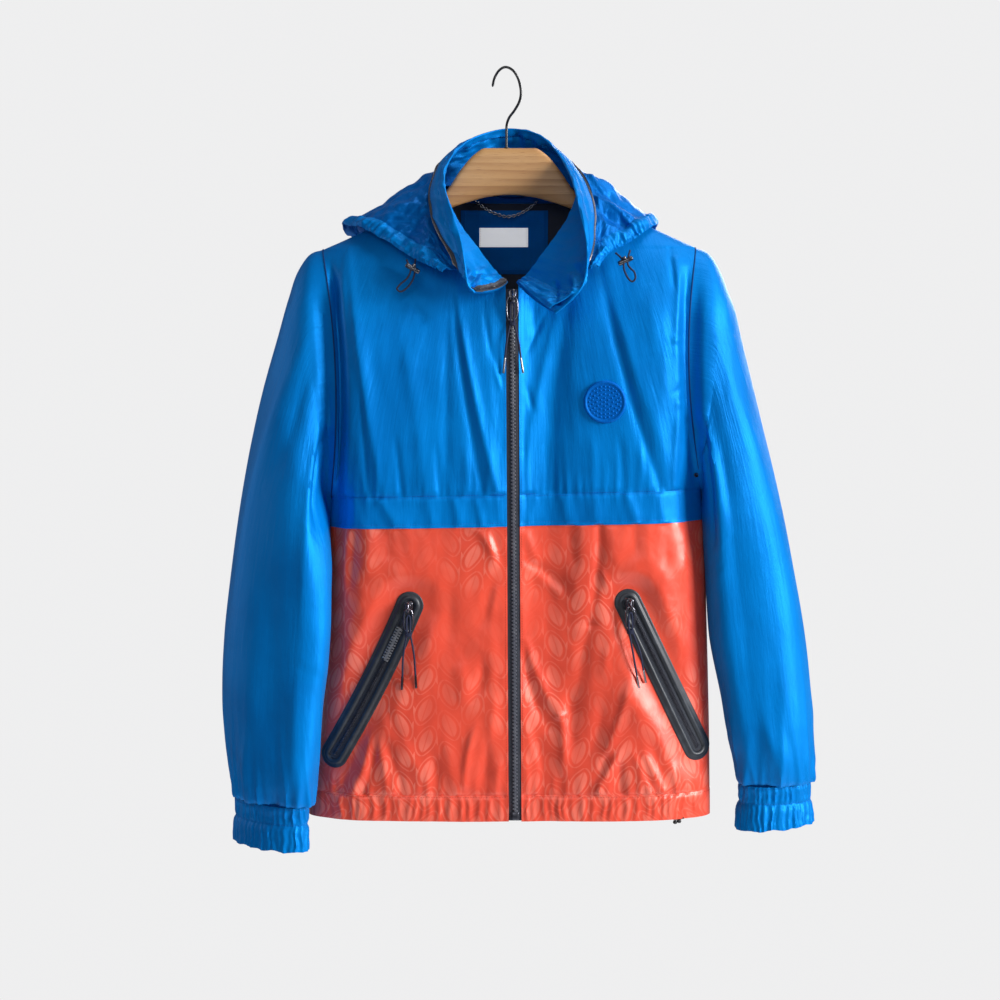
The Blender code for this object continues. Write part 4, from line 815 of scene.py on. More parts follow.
def nylon(name, colour, deep, rough=0.43, metal=0.25, sheen=(0.07, 0.46, 0.90)):
    """Glossy dyed nylon: coloured highlights, a fine weave and small slubs."""
    n = Nodes(name)
    uv, at = n.place("cloth"), n.place()
    big = n.noise(at, 9.0, 3.0, 0.55)
    tone = n.mix(n.ramp(big, 0.35, 0.68), colour, deep)
    weave = plain_weave(n, uv, 150.0)
    slub = n.noise(n.scaled(uv, (26.0, 3.2, 1.0)), 1.0, 3.0, 0.6)
    soft = n.noise(n.scaled(uv, (5.0, 2.2, 1.0)), 1.0, 4.0, 0.62, 0.4)
    pleat = n.noise(n.scaled(uv, (14.0, 1.1, 1.0)), 1.0, 3.0, 0.6, 0.3)
    grain = n.noise(n.scaled(uv, (110.0, 60.0, 1.0)), 1.0, 2.0, 0.6)
    normal = n.bump(soft, 0.0009, 0.6)
    normal = n.bump(pleat, 0.0008, 0.6, normal)
    normal = n.bump(slub, 0.0003, 0.7, normal)
    normal = n.bump(grain, 0.00008, 0.6, normal)
    normal = n.bump(weave, 0.00006, 0.35, normal)
    r = n.math("ADD", rough, n.math("MULTIPLY", n.math("SUBTRACT", slub, 0.5), 0.14))
    return n.finish(tone, r, normal, Metallic=metal, Sheen_Weight=0.03, Sheen_Roughness=0.4, Sheen_Tint=sheen,
                    Specular_IOR_Level=0.5, Specular_Tint=sheen)


def coated(name, colour, light, deep):
    """Glossy coated cloth with a tone-on-tone woven pattern of leaves and lozenges."""
    n = Nodes(name)
    uv, at = n.place("cloth"), n.place()
    sep = n.new("ShaderNodeSeparateXYZ")
    n.link(uv, sep.inputs[0])
    wide, tall = 0.27, 0.35
    col = n.math("DIVIDE", sep.outputs[0], wide)
    half = n.math("MULTIPLY", n.math("FLOORED_MODULO", n.math("FLOOR", col), 2.0), 0.5)
    row = n.math("ADD", n.math("DIVIDE", sep.outputs[1], tall), half)
    x = n.math("MULTIPLY", n.math("SUBTRACT", n.math("FRACT", col), 0.5), wide)
    y = n.math("MULTIPLY", n.math("SUBTRACT", n.math("FRACT", row), 0.5), tall)
    # each leaf leans the other way from its neighbour
    turn = n.math("MULTIPLY", n.math("SUBTRACT", n.math("MULTIPLY", half, 4.0), 1.0), 0.35)
    xr = n.math("ADD", x, n.math("MULTIPLY", y, turn))
    ax = n.math("ABSOLUTE", xr)

    def lens(shift, radius):
        d = n.math("SQRT", n.math("ADD", n.math("POWER", n.math("ADD", ax, shift), 2.0), n.math("POWER", y, 2.0)))
        return n.math("SUBTRACT", radius, d)
    leaf = n.ramp(lens(0.085, 0.163), -0.004, 0.012)
    ring = n.ramp(n.math("ABSOLUTE", lens(0.085, 0.198)), 0.004, 0.012, 0.7, 0.0)
    rib = n.ramp(ax, 0.004, 0.012, 0.45, 1.0)
    leaf = n.math("MULTIPLY", leaf, rib)
    dx = n.math("SUBTRACT", wide / 2, n.math("ABSOLUTE", x))
    lozenge = n.math("SUBTRACT", 0.034, n.math("ADD", dx, n.math("MULTIPLY", n.math("ABSOLUTE", y), 0.6)))
    mask = n.math("MAXIMUM", n.math("MAXIMUM", leaf, ring), n.ramp(lozenge, -0.003, 0.006))
    # the pattern shows only in noise patches: there it is painted lighter as a painted highlight, as if it caught the
    # light, and is also glossier and raised
    painted_highlight_patches = n.ramp(n.noise(at, 7.5, 3.0, 0.55), 0.40, 0.62, 0.10, 1.0)
    mask = n.math("MULTIPLY", mask, painted_highlight_patches)
    big = n.noise(at, 8.0, 3.0, 0.55)
    tone = n.mix(n.ramp(big, 0.35, 0.68), colour, deep)
    # the motif lightens the red towards pale pink: the pattern's own tone, shown only in the painted highlight patches
    tone = n.mix(n.math("MULTIPLY", mask, 0.34), tone, light)
    soft = n.noise(n.scaled(uv, (3.0, 2.6, 1.0)), 1.0, 2.5, 0.5, 0.4)
    fine = n.noise(n.scaled(uv, (14.0, 12.0, 1.0)), 1.0, 3.0, 0.6, 0.3)
    normal = n.bump(soft, 0.0012, 0.5)
    normal = n.bump(fine, 0.00012, 0.5, normal)
    normal = n.bump(mask, 0.00012, 0.5, normal)
    normal = n.bump(plain_weave(n, uv, 130.0), 0.00005, 0.3, normal)
    r = n.math("ADD", n.math("ADD", 0.33, n.math("MULTIPLY", mask, 0.10)),
               n.math("MULTIPLY", n.math("SUBTRACT", fine, 0.5), 0.12))
    return n.finish(tone, r, normal, Metallic=0.10, Coat_Weight=0.25, Coat_Roughness=0.26, Specular_IOR_Level=0.5,
                    Sheen_Weight=0.05, Sheen_Tint=(1.0, 0.7, 0.6))


def woven(name, colour, light, per_dm=90.0, rough=0.8, depth=0.00025):
    n = Nodes(name)
    uv, at = n.place("cloth"), n.place()
    weave = plain_weave(n, uv, per_dm)
    fuzz = n.noise(at, 700.0, 2.0)
    tone = n.mix(n.math("ADD", n.math("MULTIPLY", weave, 0.35), n.math("MULTIPLY", fuzz, 0.5), clamp=True), colour, light)
    normal = n.bump(weave, depth, 0.7)
    normal = n.bump(fuzz, 0.0002, 0.4, normal)
    return n.finish(tone, rough, normal, Sheen_Weight=0.25, Sheen_Roughness=0.5)


def satin(name, colour, light):
    """White woven label that glows a little by its own emission: painted light, to lift it out of the shade it stands
    in.
    """
    n = Nodes(name)
    uv = n.place("cloth")
    weave = plain_weave(n, uv, 120.0)
    tone = n.mix(n.math("ADD", n.math("MULTIPLY", weave, 0.4), 0.5, clamp=True), colour, light)
    return n.finish(tone, 0.5, n.bump(weave, 0.0001, 0.6), Emission_Color=light, Emission_Strength=0.36)


def rubbery(name, colour, light, rough=0.5, grain=1400.0):
    n = Nodes(name)
    at = n.place()
    g = n.noise(at, grain, 2.0)
    wear = n.noise(at, 60.0, 4.0, 0.6)
    tone = n.mix(n.ramp(wear, 0.45, 0.75), colour, light)
    r = n.math("ADD", rough, n.math("MULTIPLY", n.math("SUBTRACT", wear, 0.5), 0.2))
    return n.finish(tone, r, n.bump(g, 0.00012, 0.5), Specular_IOR_Level=0.5)


def metal(name, colour, dark, rough=0.3, brushed=True):
    n = Nodes(name)
    at = n.place()
    streak = n.noise(n.scaled(at, (900.0, 900.0, 90.0)), 1.0, 2.0)
    wear = n.noise(at, 220.0, 4.0, 0.6)
    tone = n.mix(n.ramp(wear, 0.4, 0.7), colour, dark)
    r = n.math("ADD", rough, n.math("MULTIPLY", n.math("SUBTRACT", wear, 0.5), 0.25))
    normal = n.bump(streak, 0.00005, 0.5) if brushed else None
    return n.finish(tone, r, normal, Metallic=1.0)


def timber(name):
    """Light ash: long horizontal grain lines, fine pores, satin lacquer."""
    n = Nodes(name)
    at = n.place()
    warp = n.noise(n.scaled(at, (4.0, 4.0, 16.0)), 1.0, 3.0, 0.55)
    lines = n.new("ShaderNodeTexWave", wave_type="BANDS", bands_direction="Z", wave_profile="SAW")
    n.link(n.scaled(at, (1.2, 1.2, 34.0)), lines.inputs["Vector"])
    lines.inputs["Scale"].default_value = 1.0
    lines.inputs["Distortion"].default_value = 4.5
    lines.inputs["Detail"].default_value = 3.0
    lines.inputs["Detail Scale"].default_value = 1.6
    pores = n.noise(n.scaled(at, (60.0, 60.0, 1500.0)), 1.0, 3.0, 0.6)
    grain = n.ramp(lines.outputs["Fac"], 0.15, 1.0)
    tone = n.mix(grain, (0.47, 0.245, 0.090), (0.34, 0.155, 0.050))
    tone = n.mix(n.ramp(warp, 0.4, 0.7), tone, (0.53, 0.30, 0.12))
    tone = n.mix(n.ramp(pores, 0.56, 0.72, 0.0, 0.5), tone, (0.22, 0.09, 0.028))
    normal = n.bump(pores, 0.0002, 0.4)
    r = n.math("ADD", 0.42, n.math("MULTIPLY", grain, 0.10))
    return n.finish(tone, r, normal, Coat_Weight=0.15, Coat_Roughness=0.25)


def thread(name, colour, light):
    n = Nodes(name)
    at = n.place()
    f = n.noise(at, 1500.0, 2.0)
    return n.finish(n.mix(f, colour, light), 0.75, n.bump(f, 0.0001, 0.5), Specular_IOR_Level=0.25)


def braid(name, colour, light):
    n = Nodes(name)
    uv = n.place("cloth")
    sep = n.new("ShaderNodeSeparateXYZ")
    n.link(uv, sep.inputs[0])
    u = n.math("MULTIPLY", sep.outputs[0], 2 * math.pi * 4)
    v = n.math("MULTIPLY", sep.outputs[1], 2 * math.pi * 45)
    a = n.math("SINE", n.math("ADD", u, v))
    b = n.math("SINE", n.math("SUBTRACT", u, v))
    w = n.math("MULTIPLY", n.math("ADD", n.math("MULTIPLY", a, b), 1.0), 0.5)
    tone = n.mix(w, colour, light)
    return n.finish(tone, 0.62, n.bump(w, 0.0003, 0.7), Specular_IOR_Level=0.35)


MAT = {
    "blue": nylon("shell_nylon_blue", (0.0, 0.200, 0.625), (0.0, 0.160, 0.53)),
    "blue_in": nylon("shell_nylon_blue_inside", (0.0, 0.11, 0.42), (0.0, 0.09, 0.36), 0.55, 0.15),
    # the hood's nylon is a darker blue than the shell's, on both hood pieces: painted shade for the hood's shaded side,
    # partly also the darker inner side showing on the wearer's right piece
    "hood": nylon("hood_nylon_blue", (0.0, 0.135, 0.50), (0.0, 0.105, 0.42), 0.34, 0.25),
    "facing": nylon("facing_nylon_blue", (0.0, 0.085, 0.34), (0.0, 0.07, 0.29), 0.55, 0.15),
    "red": coated("coated_red", (0.84, 0.078, 0.037), (1.0, 0.34, 0.24), (0.72, 0.062, 0.030)),
    "red_in": woven("coated_red_inside", (0.30, 0.03, 0.02), (0.42, 0.06, 0.04), 130.0),
    "lining": woven("mesh_lining_navy", (0.006, 0.010, 0.024), (0.018, 0.026, 0.055), 60.0),
    # the label's material glows a little: painted light
    "label": satin("label_white", (0.84, 0.84, 0.86), (0.93, 0.94, 0.96)),
    "tape": rubbery("pocket_tape_black", (0.018, 0.022, 0.030), (0.035, 0.041, 0.052), 0.42),
    "ziptape": woven("zip_tape", (0.014, 0.018, 0.032), (0.038, 0.044, 0.066), 130.0),
    "teeth": metal("zip_teeth_dark", (0.10, 0.10, 0.12), (0.05, 0.05, 0.065), 0.34, False),
    "teeth_front": rubbery("zip_teeth_front", (0.085, 0.088, 0.110), (0.125, 0.128, 0.150), 0.30),
    # silver teeth for the run on the right pocket's zip that catches the light: painted highlight
    "teeth_silver": metal("zip_teeth_silver", (0.52, 0.52, 0.55), (0.34, 0.34, 0.37), 0.3, False),
    "teeth_mid": metal("zip_teeth_grey", (0.30, 0.28, 0.28), (0.16, 0.15, 0.155), 0.32, False),
    "pull": metal("pull_gunmetal", (0.24, 0.24, 0.27), (0.13, 0.13, 0.15), 0.2, False),
    "tips_dark": metal("cord_tips_dark", (0.09, 0.07, 0.08), (0.04, 0.035, 0.045), 0.3, False),
    "chain": metal("chain_nickel", (0.34, 0.34, 0.35), (0.12, 0.12, 0.13), 0.25, False),
    "gunmetal": metal("gunmetal", (0.15, 0.15, 0.17), (0.07, 0.07, 0.085), 0.26),
    "tips": metal("cord_tips", (0.40, 0.40, 0.43), (0.22, 0.22, 0.25), 0.32, False),
    "cord": braid("cord_navy", (0.004, 0.006, 0.020), (0.020, 0.028, 0.075)),
    "badge": nylon("badge_rubber_blue", (0.0, 0.115, 0.50), (0.0, 0.10, 0.44), 0.48, 0.15),
    "wood": timber("hanger_ash"),
    "wire": rubbery("hook_black_enamel", (0.012, 0.012, 0.014), (0.03, 0.03, 0.032), 0.30, 400.0),
    "thread_blue": thread("thread_blue", (0.0, 0.09, 0.38), (0.01, 0.17, 0.58)),
    "thread_red": thread("thread_red", (0.42, 0.03, 0.018), (0.66, 0.09, 0.06)),
    # dark navy for the armhole seam lines, dark enough to stand in as painted shadow in the crease
    "seam": thread("seam_navy", (0.0, 0.030, 0.13), (0.0, 0.045, 0.18)),
    "thread_dark": thread("thread_dark", (0.01, 0.012, 0.02), (0.04, 0.045, 0.06)),
}

# ---------------------------------------------------------------- mesh making


def add_piece(name, verts, faces, mats, mat_of=None, uv=None, ride=ROOT, replaces=(), sharp=45.0):
    """verts in garment mm; uv one pair a vertex."""
    mesh = bpy.data.meshes.new(name)
    mesh.from_pydata(to_world(verts).tolist(), [], faces if isinstance(faces, list) else faces.tolist())
    mesh.update()
    mats = (mats,) if isinstance(mats, str) else mats
    for m in mats:
        mesh.materials.append(MAT[m])
    if mat_of is not None:
        mesh.polygons.foreach_set("material_index", np.asarray(mat_of, np.int32))
    if uv is not None:
        layer = mesh.uv_layers.new(name="cloth")
        idx = np.empty(len(mesh.loops), np.int32)
        mesh.loops.foreach_get("vertex_index", idx)
        layer.data.foreach_set("uv", np.asarray(uv, np.float32)[idx].ravel())
    mesh.shade_smooth()
    if sharp:
        mesh.set_sharp_from_angle(angle=math.radians(sharp))
    obj = bpy.data.objects.new(name, mesh)
    bpy.context.scene.collection.objects.link(obj)
    if replaces:
        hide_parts(*replaces)
    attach(obj, ride)
    return obj


def quads(nu, nv, closed, base=0, flip=False):
    i = np.arange(nu if closed else nu - 1)
    j = np.arange(nv - 1)
    I, J = np.meshgrid(i, j, indexing="ij")
    K = (I + 1) % nu
    q = np.stack([I * nv + J, K * nv + J, K * nv + J + 1, I * nv + J + 1], -1).reshape(-1, 4) + base
    return q[:, ::-1] if flip else q


def shell(name, P, thick, mats, closed=False, out=None, uv=None, inner=None, **kw):
    """Closed thin shell: P[i, j] on the outer face; out gives which way is outside."""
    nu, nv = P.shape[:2]
    N = normals(P, closed=closed)
    side = np.sum(N * out) if out is not None else 1.0
    if side < 0:
        N = -N
    Q = P - N * thick if inner is None else inner
    verts = np.concatenate([P.reshape(-1, 3), Q.reshape(-1, 3)])
    n = nu * nv
    flip = side < 0
    f = [quads(nu, nv, closed, 0, flip), quads(nu, nv, closed, n, not flip)]
    kinds = [np.zeros(len(f[0])), np.ones(len(f[1]))]

    def rim(line, rev):
        a, b = line[:-1], line[1:]
        q = np.stack([a, b, b + n, a + n], -1)
        return q[:, ::-1] if rev else q
    idx = np.arange(n).reshape(nu, nv)
    lines = [(idx[:, 0], not flip), (idx[:, -1], flip)]
    if closed:
        lines = [(np.append(l, l[0]), r) for l, r in lines]
    else:
        lines += [(idx[0, :], flip), (idx[-1, :], not flip)]
    for line, rev in lines:
        q = rim(line, not rev)
        f.append(q)
        kinds.append(np.zeros(len(q)))
    faces = np.concatenate(f)
    mats = (mats, mats) if isinstance(mats, str) else mats
    kind = np.concatenate(kinds) if mats[0] != mats[1] else None
    if kind is None:
        mats = mats[:1]
    if uv is None:
        uv = flat_pattern(P)
    uv2 = np.concatenate([uv.reshape(-1, 2)] * 2)
    return add_piece(name, verts, faces, mats, kind, uv2, **kw)


def tube_mesh(path, radius, sides=10, closed=False, flat=1.0):
    """Vertices, faces and uv of a round tube with closed ends."""
    p = np.asarray(path, float)
    n = len(p)
    t = unit(np.roll(p, -1, 0) - np.roll(p, 1, 0)) if closed else unit(np.gradient(p, axis=0))
    ref = np.array([0.0, 0.0, 1.0]) if abs(t[0][2]) < 0.9 else np.array([0.0, 1.0, 0.0])
    frames, u = [], unit(np.cross(t[0], ref))
    for k in range(n):
        u = unit(u - t[k] * (u @ t[k]))
        frames.append((u, np.cross(t[k], u)))
    r = np.broadcast_to(np.asarray(radius, float), (n,))
    a = 2 * np.pi * np.arange(sides) / sides
    U = np.array([f[0] for f in frames])[:, None, :]
    V = np.array([f[1] for f in frames])[:, None, :]
    ringp = p[:, None, :] + r[:, None, None] * (np.cos(a)[None, :, None] * U + flat * np.sin(a)[None, :, None] * V)
    verts = ringp.reshape(-1, 3)
    faces = []
    for i in range(n if closed else n - 1):
        k = (i + 1) % n
        for j in range(sides):
            m = (j + 1) % sides
            faces.append((i * sides + j, i * sides + m, k * sides + m, k * sides + j))
    run = np.concatenate([[0], np.cumsum(np.linalg.norm(np.diff(p, axis=0), axis=1))]) / 100.0
    uv = np.stack(np.broadcast_arrays(np.arange(sides)[None, :] / sides * 1.0, run[:, None]), -1).reshape(-1, 2)
    if not closed:
        faces.append(tuple(range(sides))[::-1])
        faces.append(tuple(range((n - 1) * sides, n * sides)))
    faces = [f[::-1] for f in faces]
    return verts, faces, uv


def joined(parts):
    """One mesh from several (verts, faces, uv)."""
    V, F, U, base = [], [], [], 0
    for part in parts:
        v, f = part[0], part[1]
        u = part[2] if len(part) > 2 else np.zeros((len(v), 2))
        V.append(v)
        U.append(u)
        F.extend([tuple(int(q) + base for q in face) for face in f])
        base += len(v)
    return np.concatenate(V), F, np.concatenate(U)


def stitches(name, path, out, pitch=3.2, length=2.1, radius=0.32, mat="thread_blue", ride=ROOT):
    """A row of stitches along a path that lies on the cloth."""
    p = np.asarray(path, float)
    run = np.concatenate([[0], np.cumsum(np.linalg.norm(np.diff(p, axis=0), axis=1))])
    o = np.asarray(out, float)
    if o.ndim == 1:
        o = np.broadcast_to(o, p.shape)
    count = int(run[-1] / pitch)
    s0 = (np.arange(count) + 0.5) * run[-1] / count - length / 2

    def at(s):
        return (np.stack([np.interp(s, run, p[:, k]) for k in range(3)], -1),
                np.stack([np.interp(s, run, o[:, k]) for k in range(3)], -1))
    rows = []
    for f, lift, r in ((0.0, -0.15, 0.45), (0.25, 0.22, 1.0), (0.75, 0.22, 1.0), (1.0, -0.15, 0.45)):
        c, n = at(s0 + f * length)
        rows.append((c, unit(n), lift, r))
    t = unit(rows[-1][0] - rows[0][0])
    V = []
    for c, n, lift, r in rows:
        b = np.cross(t, n)
        for k in range(4):
            a = math.pi / 4 + k * math.pi / 2
            V.append(c + n * lift + radius * r * (math.cos(a) * n + math.sin(a) * b))
    V = np.stack(V, 1)                       # (count, 16, 3)
    base = (np.arange(count) * 16)[:, None]
    F = []
    for i in range(3):
        for k in range(4):
            m = (k + 1) % 4
            F.append(base + np.array([[i * 4 + k, (i + 1) * 4 + k, (i + 1) * 4 + m, i * 4 + m]]))
    F.append(base + np.array([[0, 1, 2, 3]]))
    F.append(base + np.array([[15, 14, 13, 12]]))
    faces = np.concatenate(F)
    return add_piece(name, V.reshape(-1, 3), faces, mat, uv=np.zeros((count * 16, 2)), ride=ride, sharp=60.0)

# ---------------------------------------------------------------- body panels
RELIEF = {"F": front_relief, "B": back_relief}
FACE_OUT = {"F": np.array([0, -1.0, 0]), "B": np.array([0, 1.0, 0])}


def upper_grid(side, face, nu, nv, x_in):
    s, a = SIGN[side], ARMHOLE[side]
    u = np.linspace(0, 1, nu + 1)[:, None]
    v = np.linspace(0, 1, nv + 1)[None, :] ** 1.3
    top_x = lerp(x_in, abs(a["ox"]) - 0.2, u)
    neck = neck_f if face == "F" else neck_b
    top_z = np.where(top_x < 80, neck(top_x), ridge_z(top_x)) - 0.3
    x_bot = lerp(x_in, edge_reach(side, face, WAIST[side]), u)
    bot_z = line_z(WAIST, s * x_bot)
    z_e = lerp(a["oz"] - 0.3, bot_z, v)
    x = lerp(x_in, edge_reach(side, face, z_e), u)
    z = lerp(top_z, bot_z, v)
    x = np.where(z > a["oz"], np.minimum(x, ridge_x(z) - 0.2), x)
    P = body(side, face, s * x, z, RELIEF[face])
    P[(top_x[:, 0] >= 80), 0, 1] = -0.1 if face == "F" else 0.1
    return P


def strip_grid(side, face, nu, nv, x_in, top, bottom, lift=None):
    s = SIGN[side]
    u = np.linspace(0, 1, nu + 1)[:, None]
    u = 1 - (1 - u) ** 1.12
    v = np.linspace(0, 1, nv + 1)[None, :]
    z_e = lerp(top(np.array(1e3 * s)), bottom(np.array(1e3 * s)), v)
    x = lerp(x_in, edge_reach(side, face, z_e), u)
    z = lerp(top(s * x), bottom(s * x), v)
    P = body(side, face, s * x, z, RELIEF[face])
    if lift is not None:
        P = P + FACE_OUT[face] * (lift(v) * smooth((1 - u) * 20))[..., None]
    P[-1, :, 1] = -0.1 if face == "F" else 0.1
    return P


def full_back(make):
    rt, lt = make("rt"), make("lt")
    return np.concatenate([rt[::-1], lt[1:]])


WAIST_Z = lambda x: line_z(WAIST, x)
RED_Z = lambda x: line_z(RED, x)
X_IN = ZIP_HALF + 0.1
for side in SIDES:
    P = upper_grid(side, "F", 104, 116, X_IN)
    shell("shell_front_upper_" + side, P, 0.6, ("blue", "blue_in"), out=FACE_OUT["F"],
                                          replaces=("front_upper_" + side,))
    P = strip_grid(side, "F", 104, 18, X_IN, WAIST_Z, lambda x: RED_Z(x) - 1.2,
                   lambda v: 0.25 + 0.75 * smooth((v - 0.90) / 0.06))
    shell("shell_front_band_" + side, P, 0.6, ("blue", "blue_in"), out=FACE_OUT["F"],
                                         replaces=("front_band_" + side,))
    P = strip_grid(side, "F", 98, 108, X_IN, lambda x: RED_Z(x) + 1.0, lambda x: HEM_TOP + 0 * x)
    shell("shell_front_lower_" + side, P, 0.6, ("red", "red_in"), out=FACE_OUT["F"],
                                          replaces=("front_lower_" + side,))
    P = strip_grid(side, "F", 136, 16, X_IN, lambda x: HEM_TOP + 0.4 + 0 * x, lambda x: HEM_Z + 0 * x,
                   lambda v: 0.35 + 0.4 * np.sin(np.pi * v) ** 0.5)
    shell("shell_hem_front_" + side, P, 1.6, ("red", "red_in"), out=FACE_OUT["F"],
                                        replaces=("hem_front_" + side,))

P = full_back(lambda s: upper_grid(s, "B", 68, 78, 0.0))
shell("shell_back_upper", P, 0.6, ("blue", "blue_in"), out=FACE_OUT["B"], replaces=("back_upper",))
P = full_back(lambda s: strip_grid(s, "B", 68, 12, 0.0, WAIST_Z, lambda x: RED_Z(x) - 1.2,
              lambda v: 0.25 + 0.75 * smooth((v - 0.90) / 0.06)))
shell("shell_back_band", P, 0.6, ("blue", "blue_in"), out=FACE_OUT["B"], replaces=("back_band",))
P = full_back(lambda s: strip_grid(s, "B", 68, 68, 0.0, lambda x: RED_Z(x) + 1.0, lambda x: HEM_TOP + 0 * x))
shell("shell_back_lower", P, 0.6, ("red", "red_in"), out=FACE_OUT["B"], replaces=("back_lower",))
P = full_back(lambda s: strip_grid(s, "B", 110, 12, 0.0, lambda x: HEM_TOP + 0.4 + 0 * x, lambda x: HEM_Z + 0 * x,
              lambda v: 0.35 + 0.4 * np.sin(np.pi * v) ** 0.5))
shell("shell_hem_back", P, 1.6, ("red", "red_in"), out=FACE_OUT["B"], replaces=("hem_back",))

# ---------------------------------------------------------------- sleeves and cuffs


def ring_out(P):
    return P - P.mean(0, keepdims=True)


CUFF_AT = 0.42
for side, rows, cuff in (("rt", SLEEVE_RT, CUFF_RT), ("lt", SLEEVE_LT, CUFF_LT)):
    n = 138
    P, s = rings_to_surface([arm_ring(side, n)] + [ring(r, n) for r in rows], 164)
    # the sleeve hangs against the body's side; on the wearer's left it comes away lower down
    turn = -np.cos(2 * np.pi * np.arange(n) / n)
    z_in = P[n // 2, :, 2]
    near = 6.0 * smooth((-462 - z_in) / 50.0)
    if side == "lt":
        near = near * (1 - smooth((-640 - z_in) / 100.0))
    P[..., 0] -= SIGN[side] * near[None, :] * smooth((turn + 0.2) / 1.0)[:, None]
    a, total = round_measure(P)
    length = s[-1]
    S = np.broadcast_to(s[None, :], a.shape)
    away = np.clip(length - S, 0, None)
    marks = gather_marks(-220, 220, 10.0, 31 if side == "rt" else 32)
    h = creases(SLEEVE_FOLDS[side], a, -S)
    h = h * (1 + 0.5 * smooth((S - 330) / 120.0))
    h = h + tucks(marks, a + 3.0 * noise(a / 30, away / 60, 44), away, 4.0, 62)
    h = h + 1.0 * noise(a / 42, S / 120, 33) + 0.5 * noise(a / 16, S / 60, 34) * smooth((S - 250) / 200)
    cap = gather_marks(-230, 230, 8.5, 35)
    h = h + tucks(cap, a, S, 1.1, 10) * smooth(S / 2.5)
    # the head of the sleeve stands over its seam
    h = h + 3.0 * smooth(S / 15.0) * np.exp(-np.clip(S - 15, 0, None) / 60.0) * np.exp(-((a - 10) / 90.0) ** 2)
    from_seam = np.abs(P[..., 0]) - edge_reach(side, "F", np.minimum(P[..., 2], -150.0))
    on_front = smooth(-P[..., 1] / 14.0) * smooth((-235 - P[..., 2]) / 50.0)
    if side == "rt":
        h = h - 11.0 * on_front * np.exp(-((from_seam - 3.0) / 12.0) ** 2) * smooth((P[..., 2] + 560) / 80.0)
    else:
        h = h + 6.5 * on_front * smooth(from_seam / 15.0) * np.exp(-np.clip(from_seam - 15, 0, None) / 45.0) \
            * smooth((P[..., 2] + 600) / 90.0)
    h = h * smooth(S / 10.0) - 1.6 * np.exp(-(away / 2.5) ** 2)
    out = ring_out(P)
    N = normals(P, closed=True)
    N = N if np.sum(N * out) > 0 else -N
    P = P + N * h[..., None]
    uv = np.stack([a, -S], -1) / 100.0
    shell("shell_sleeve_" + side, P, 0.6, ("blue", "blue_in"), closed=True, out=out, uv=uv,
                                     replaces=("sleeve_" + side,))
    # cuff: elastic gathers between the seam, one stitch row and the edge
    n = 220
    P, s = rings_to_surface([ring(r, n) for r in cuff], 26)
    a, total = round_measure(P)
    v = np.broadcast_to((s / s[-1])[None, :], a.shape)
    marks = gather_marks(-130, 130, 6.2, 36 if side == "rt" else 37)
    marks2 = gather_marks(-130, 130, 6.8, 38 if side == "rt" else 39)
    hi = np.clip(v / CUFF_AT, 0, 1)
    lo = np.clip((v - CUFF_AT) / (1 - CUFF_AT), 0, 1)
    h = np.where(v < CUFF_AT, tucks(marks, a + 2.0 * noise(v * 4, a / 20, 40), 0 * a, 2.3, 30) * (0.45 + 0.55 * np.sin(np.pi * hi)),
                 tucks(marks2, a + 2.5 * noise(v * 3, a / 18, 41), 0 * a, 2.5, 30)
                 * (0.42 + 0.58 * np.sin(np.pi * np.clip(lo * 0.78, 0, 1))))
    h = h - 1.5 * np.exp(-((v - CUFF_AT) / 0.05) ** 2) - 1.2 * np.exp(-(v / 0.05) ** 2)
    h = h + 0.5 * noise(a / 6, v * 6, 42)
    out = ring_out(P)
    N = normals(P, closed=True)
    N = N if np.sum(N * out) > 0 else -N
    P = P + N * h[..., None] + np.array([0, 0, 1.0]) * (1.6 * noise(a / 14, 0 * a, 43) * lo ** 2)[..., None]
    shell("shell_cuff_" + side, P, 1.4, ("blue", "blue_in"), closed=True, out=out,
                                   uv=np.stack([a, -S[0, -1] - v * 50], -1) / 100.0, replaces=("cuff_" + side,))
    CUFF_STITCH = (P, N, v)
    row = int(round(CUFF_AT * 25))
    loop = np.concatenate([P[:, row], P[:1, row]])
    stitches("stitch_cuff_" + side, loop, np.concatenate([N[:, row], N[:1, row]]))
    loop = np.concatenate([P[:, 1], P[:1, 1]])
    stitches("stitch_cuff_top_" + side, loop, np.concatenate([N[:, 1], N[:1, 1]]))

# ---------------------------------------------------------------- collar
STATIONS = [[], [], []]
for face, reach, mx, my, mz, rx, ry, rz in COLLAR:
    side = "rt" if reach < 0 else "lt"
    z = float(neck_f(abs(reach)) if face == "F" else neck_b(abs(reach)))
    # the CAD's seam has no scene folds under it
    seam = body(side, face, reach, z - 0.5) + np.array([0, -1.2 if face == "F" else 0.5, 2.2])
    STATIONS[0].append(seam)
    STATIONS[1].append(np.array([mx, my, mz], float))
    STATIONS[2].append(np.array([rx, ry, rz], float))


def collar_point(t, v, out=0.0):
    t, v = np.broadcast_arrays(np.asarray(t, float), np.asarray(v, float))
    s, m, r = (through(STATIONS[k], t) for k in range(3))
    vm = 0.55
    v3 = v[..., None]
    a = s * (v3 - vm) * (v3 - 1) / vm + m * v3 * (v3 - 1) / (vm * (vm - 1)) + r * v3 * (v3 - vm) / (1 - vm)
    if np.any(out):
        e = 0.004
        du = collar_point(np.minimum(t + e, 1), v) - collar_point(np.maximum(t - e, 0), v)
        dv = collar_point(t, np.minimum(v + 0.03, 1)) - collar_point(t, np.maximum(v - 0.03, 0))
        a = a + np.asarray(out)[..., None] * unit(np.cross(dv, du))
    return a


COLLAR_LONG = 430.0
COLLAR_THICK = 2.4
RIM_MARKS = gather_marks(0, COLLAR_LONG, 9.5, 51)
RIM_MARKS2 = gather_marks(0, COLLAR_LONG, 13.0, 52)
SEAM_MARKS = gather_marks(0, COLLAR_LONG, 12.0, 53)
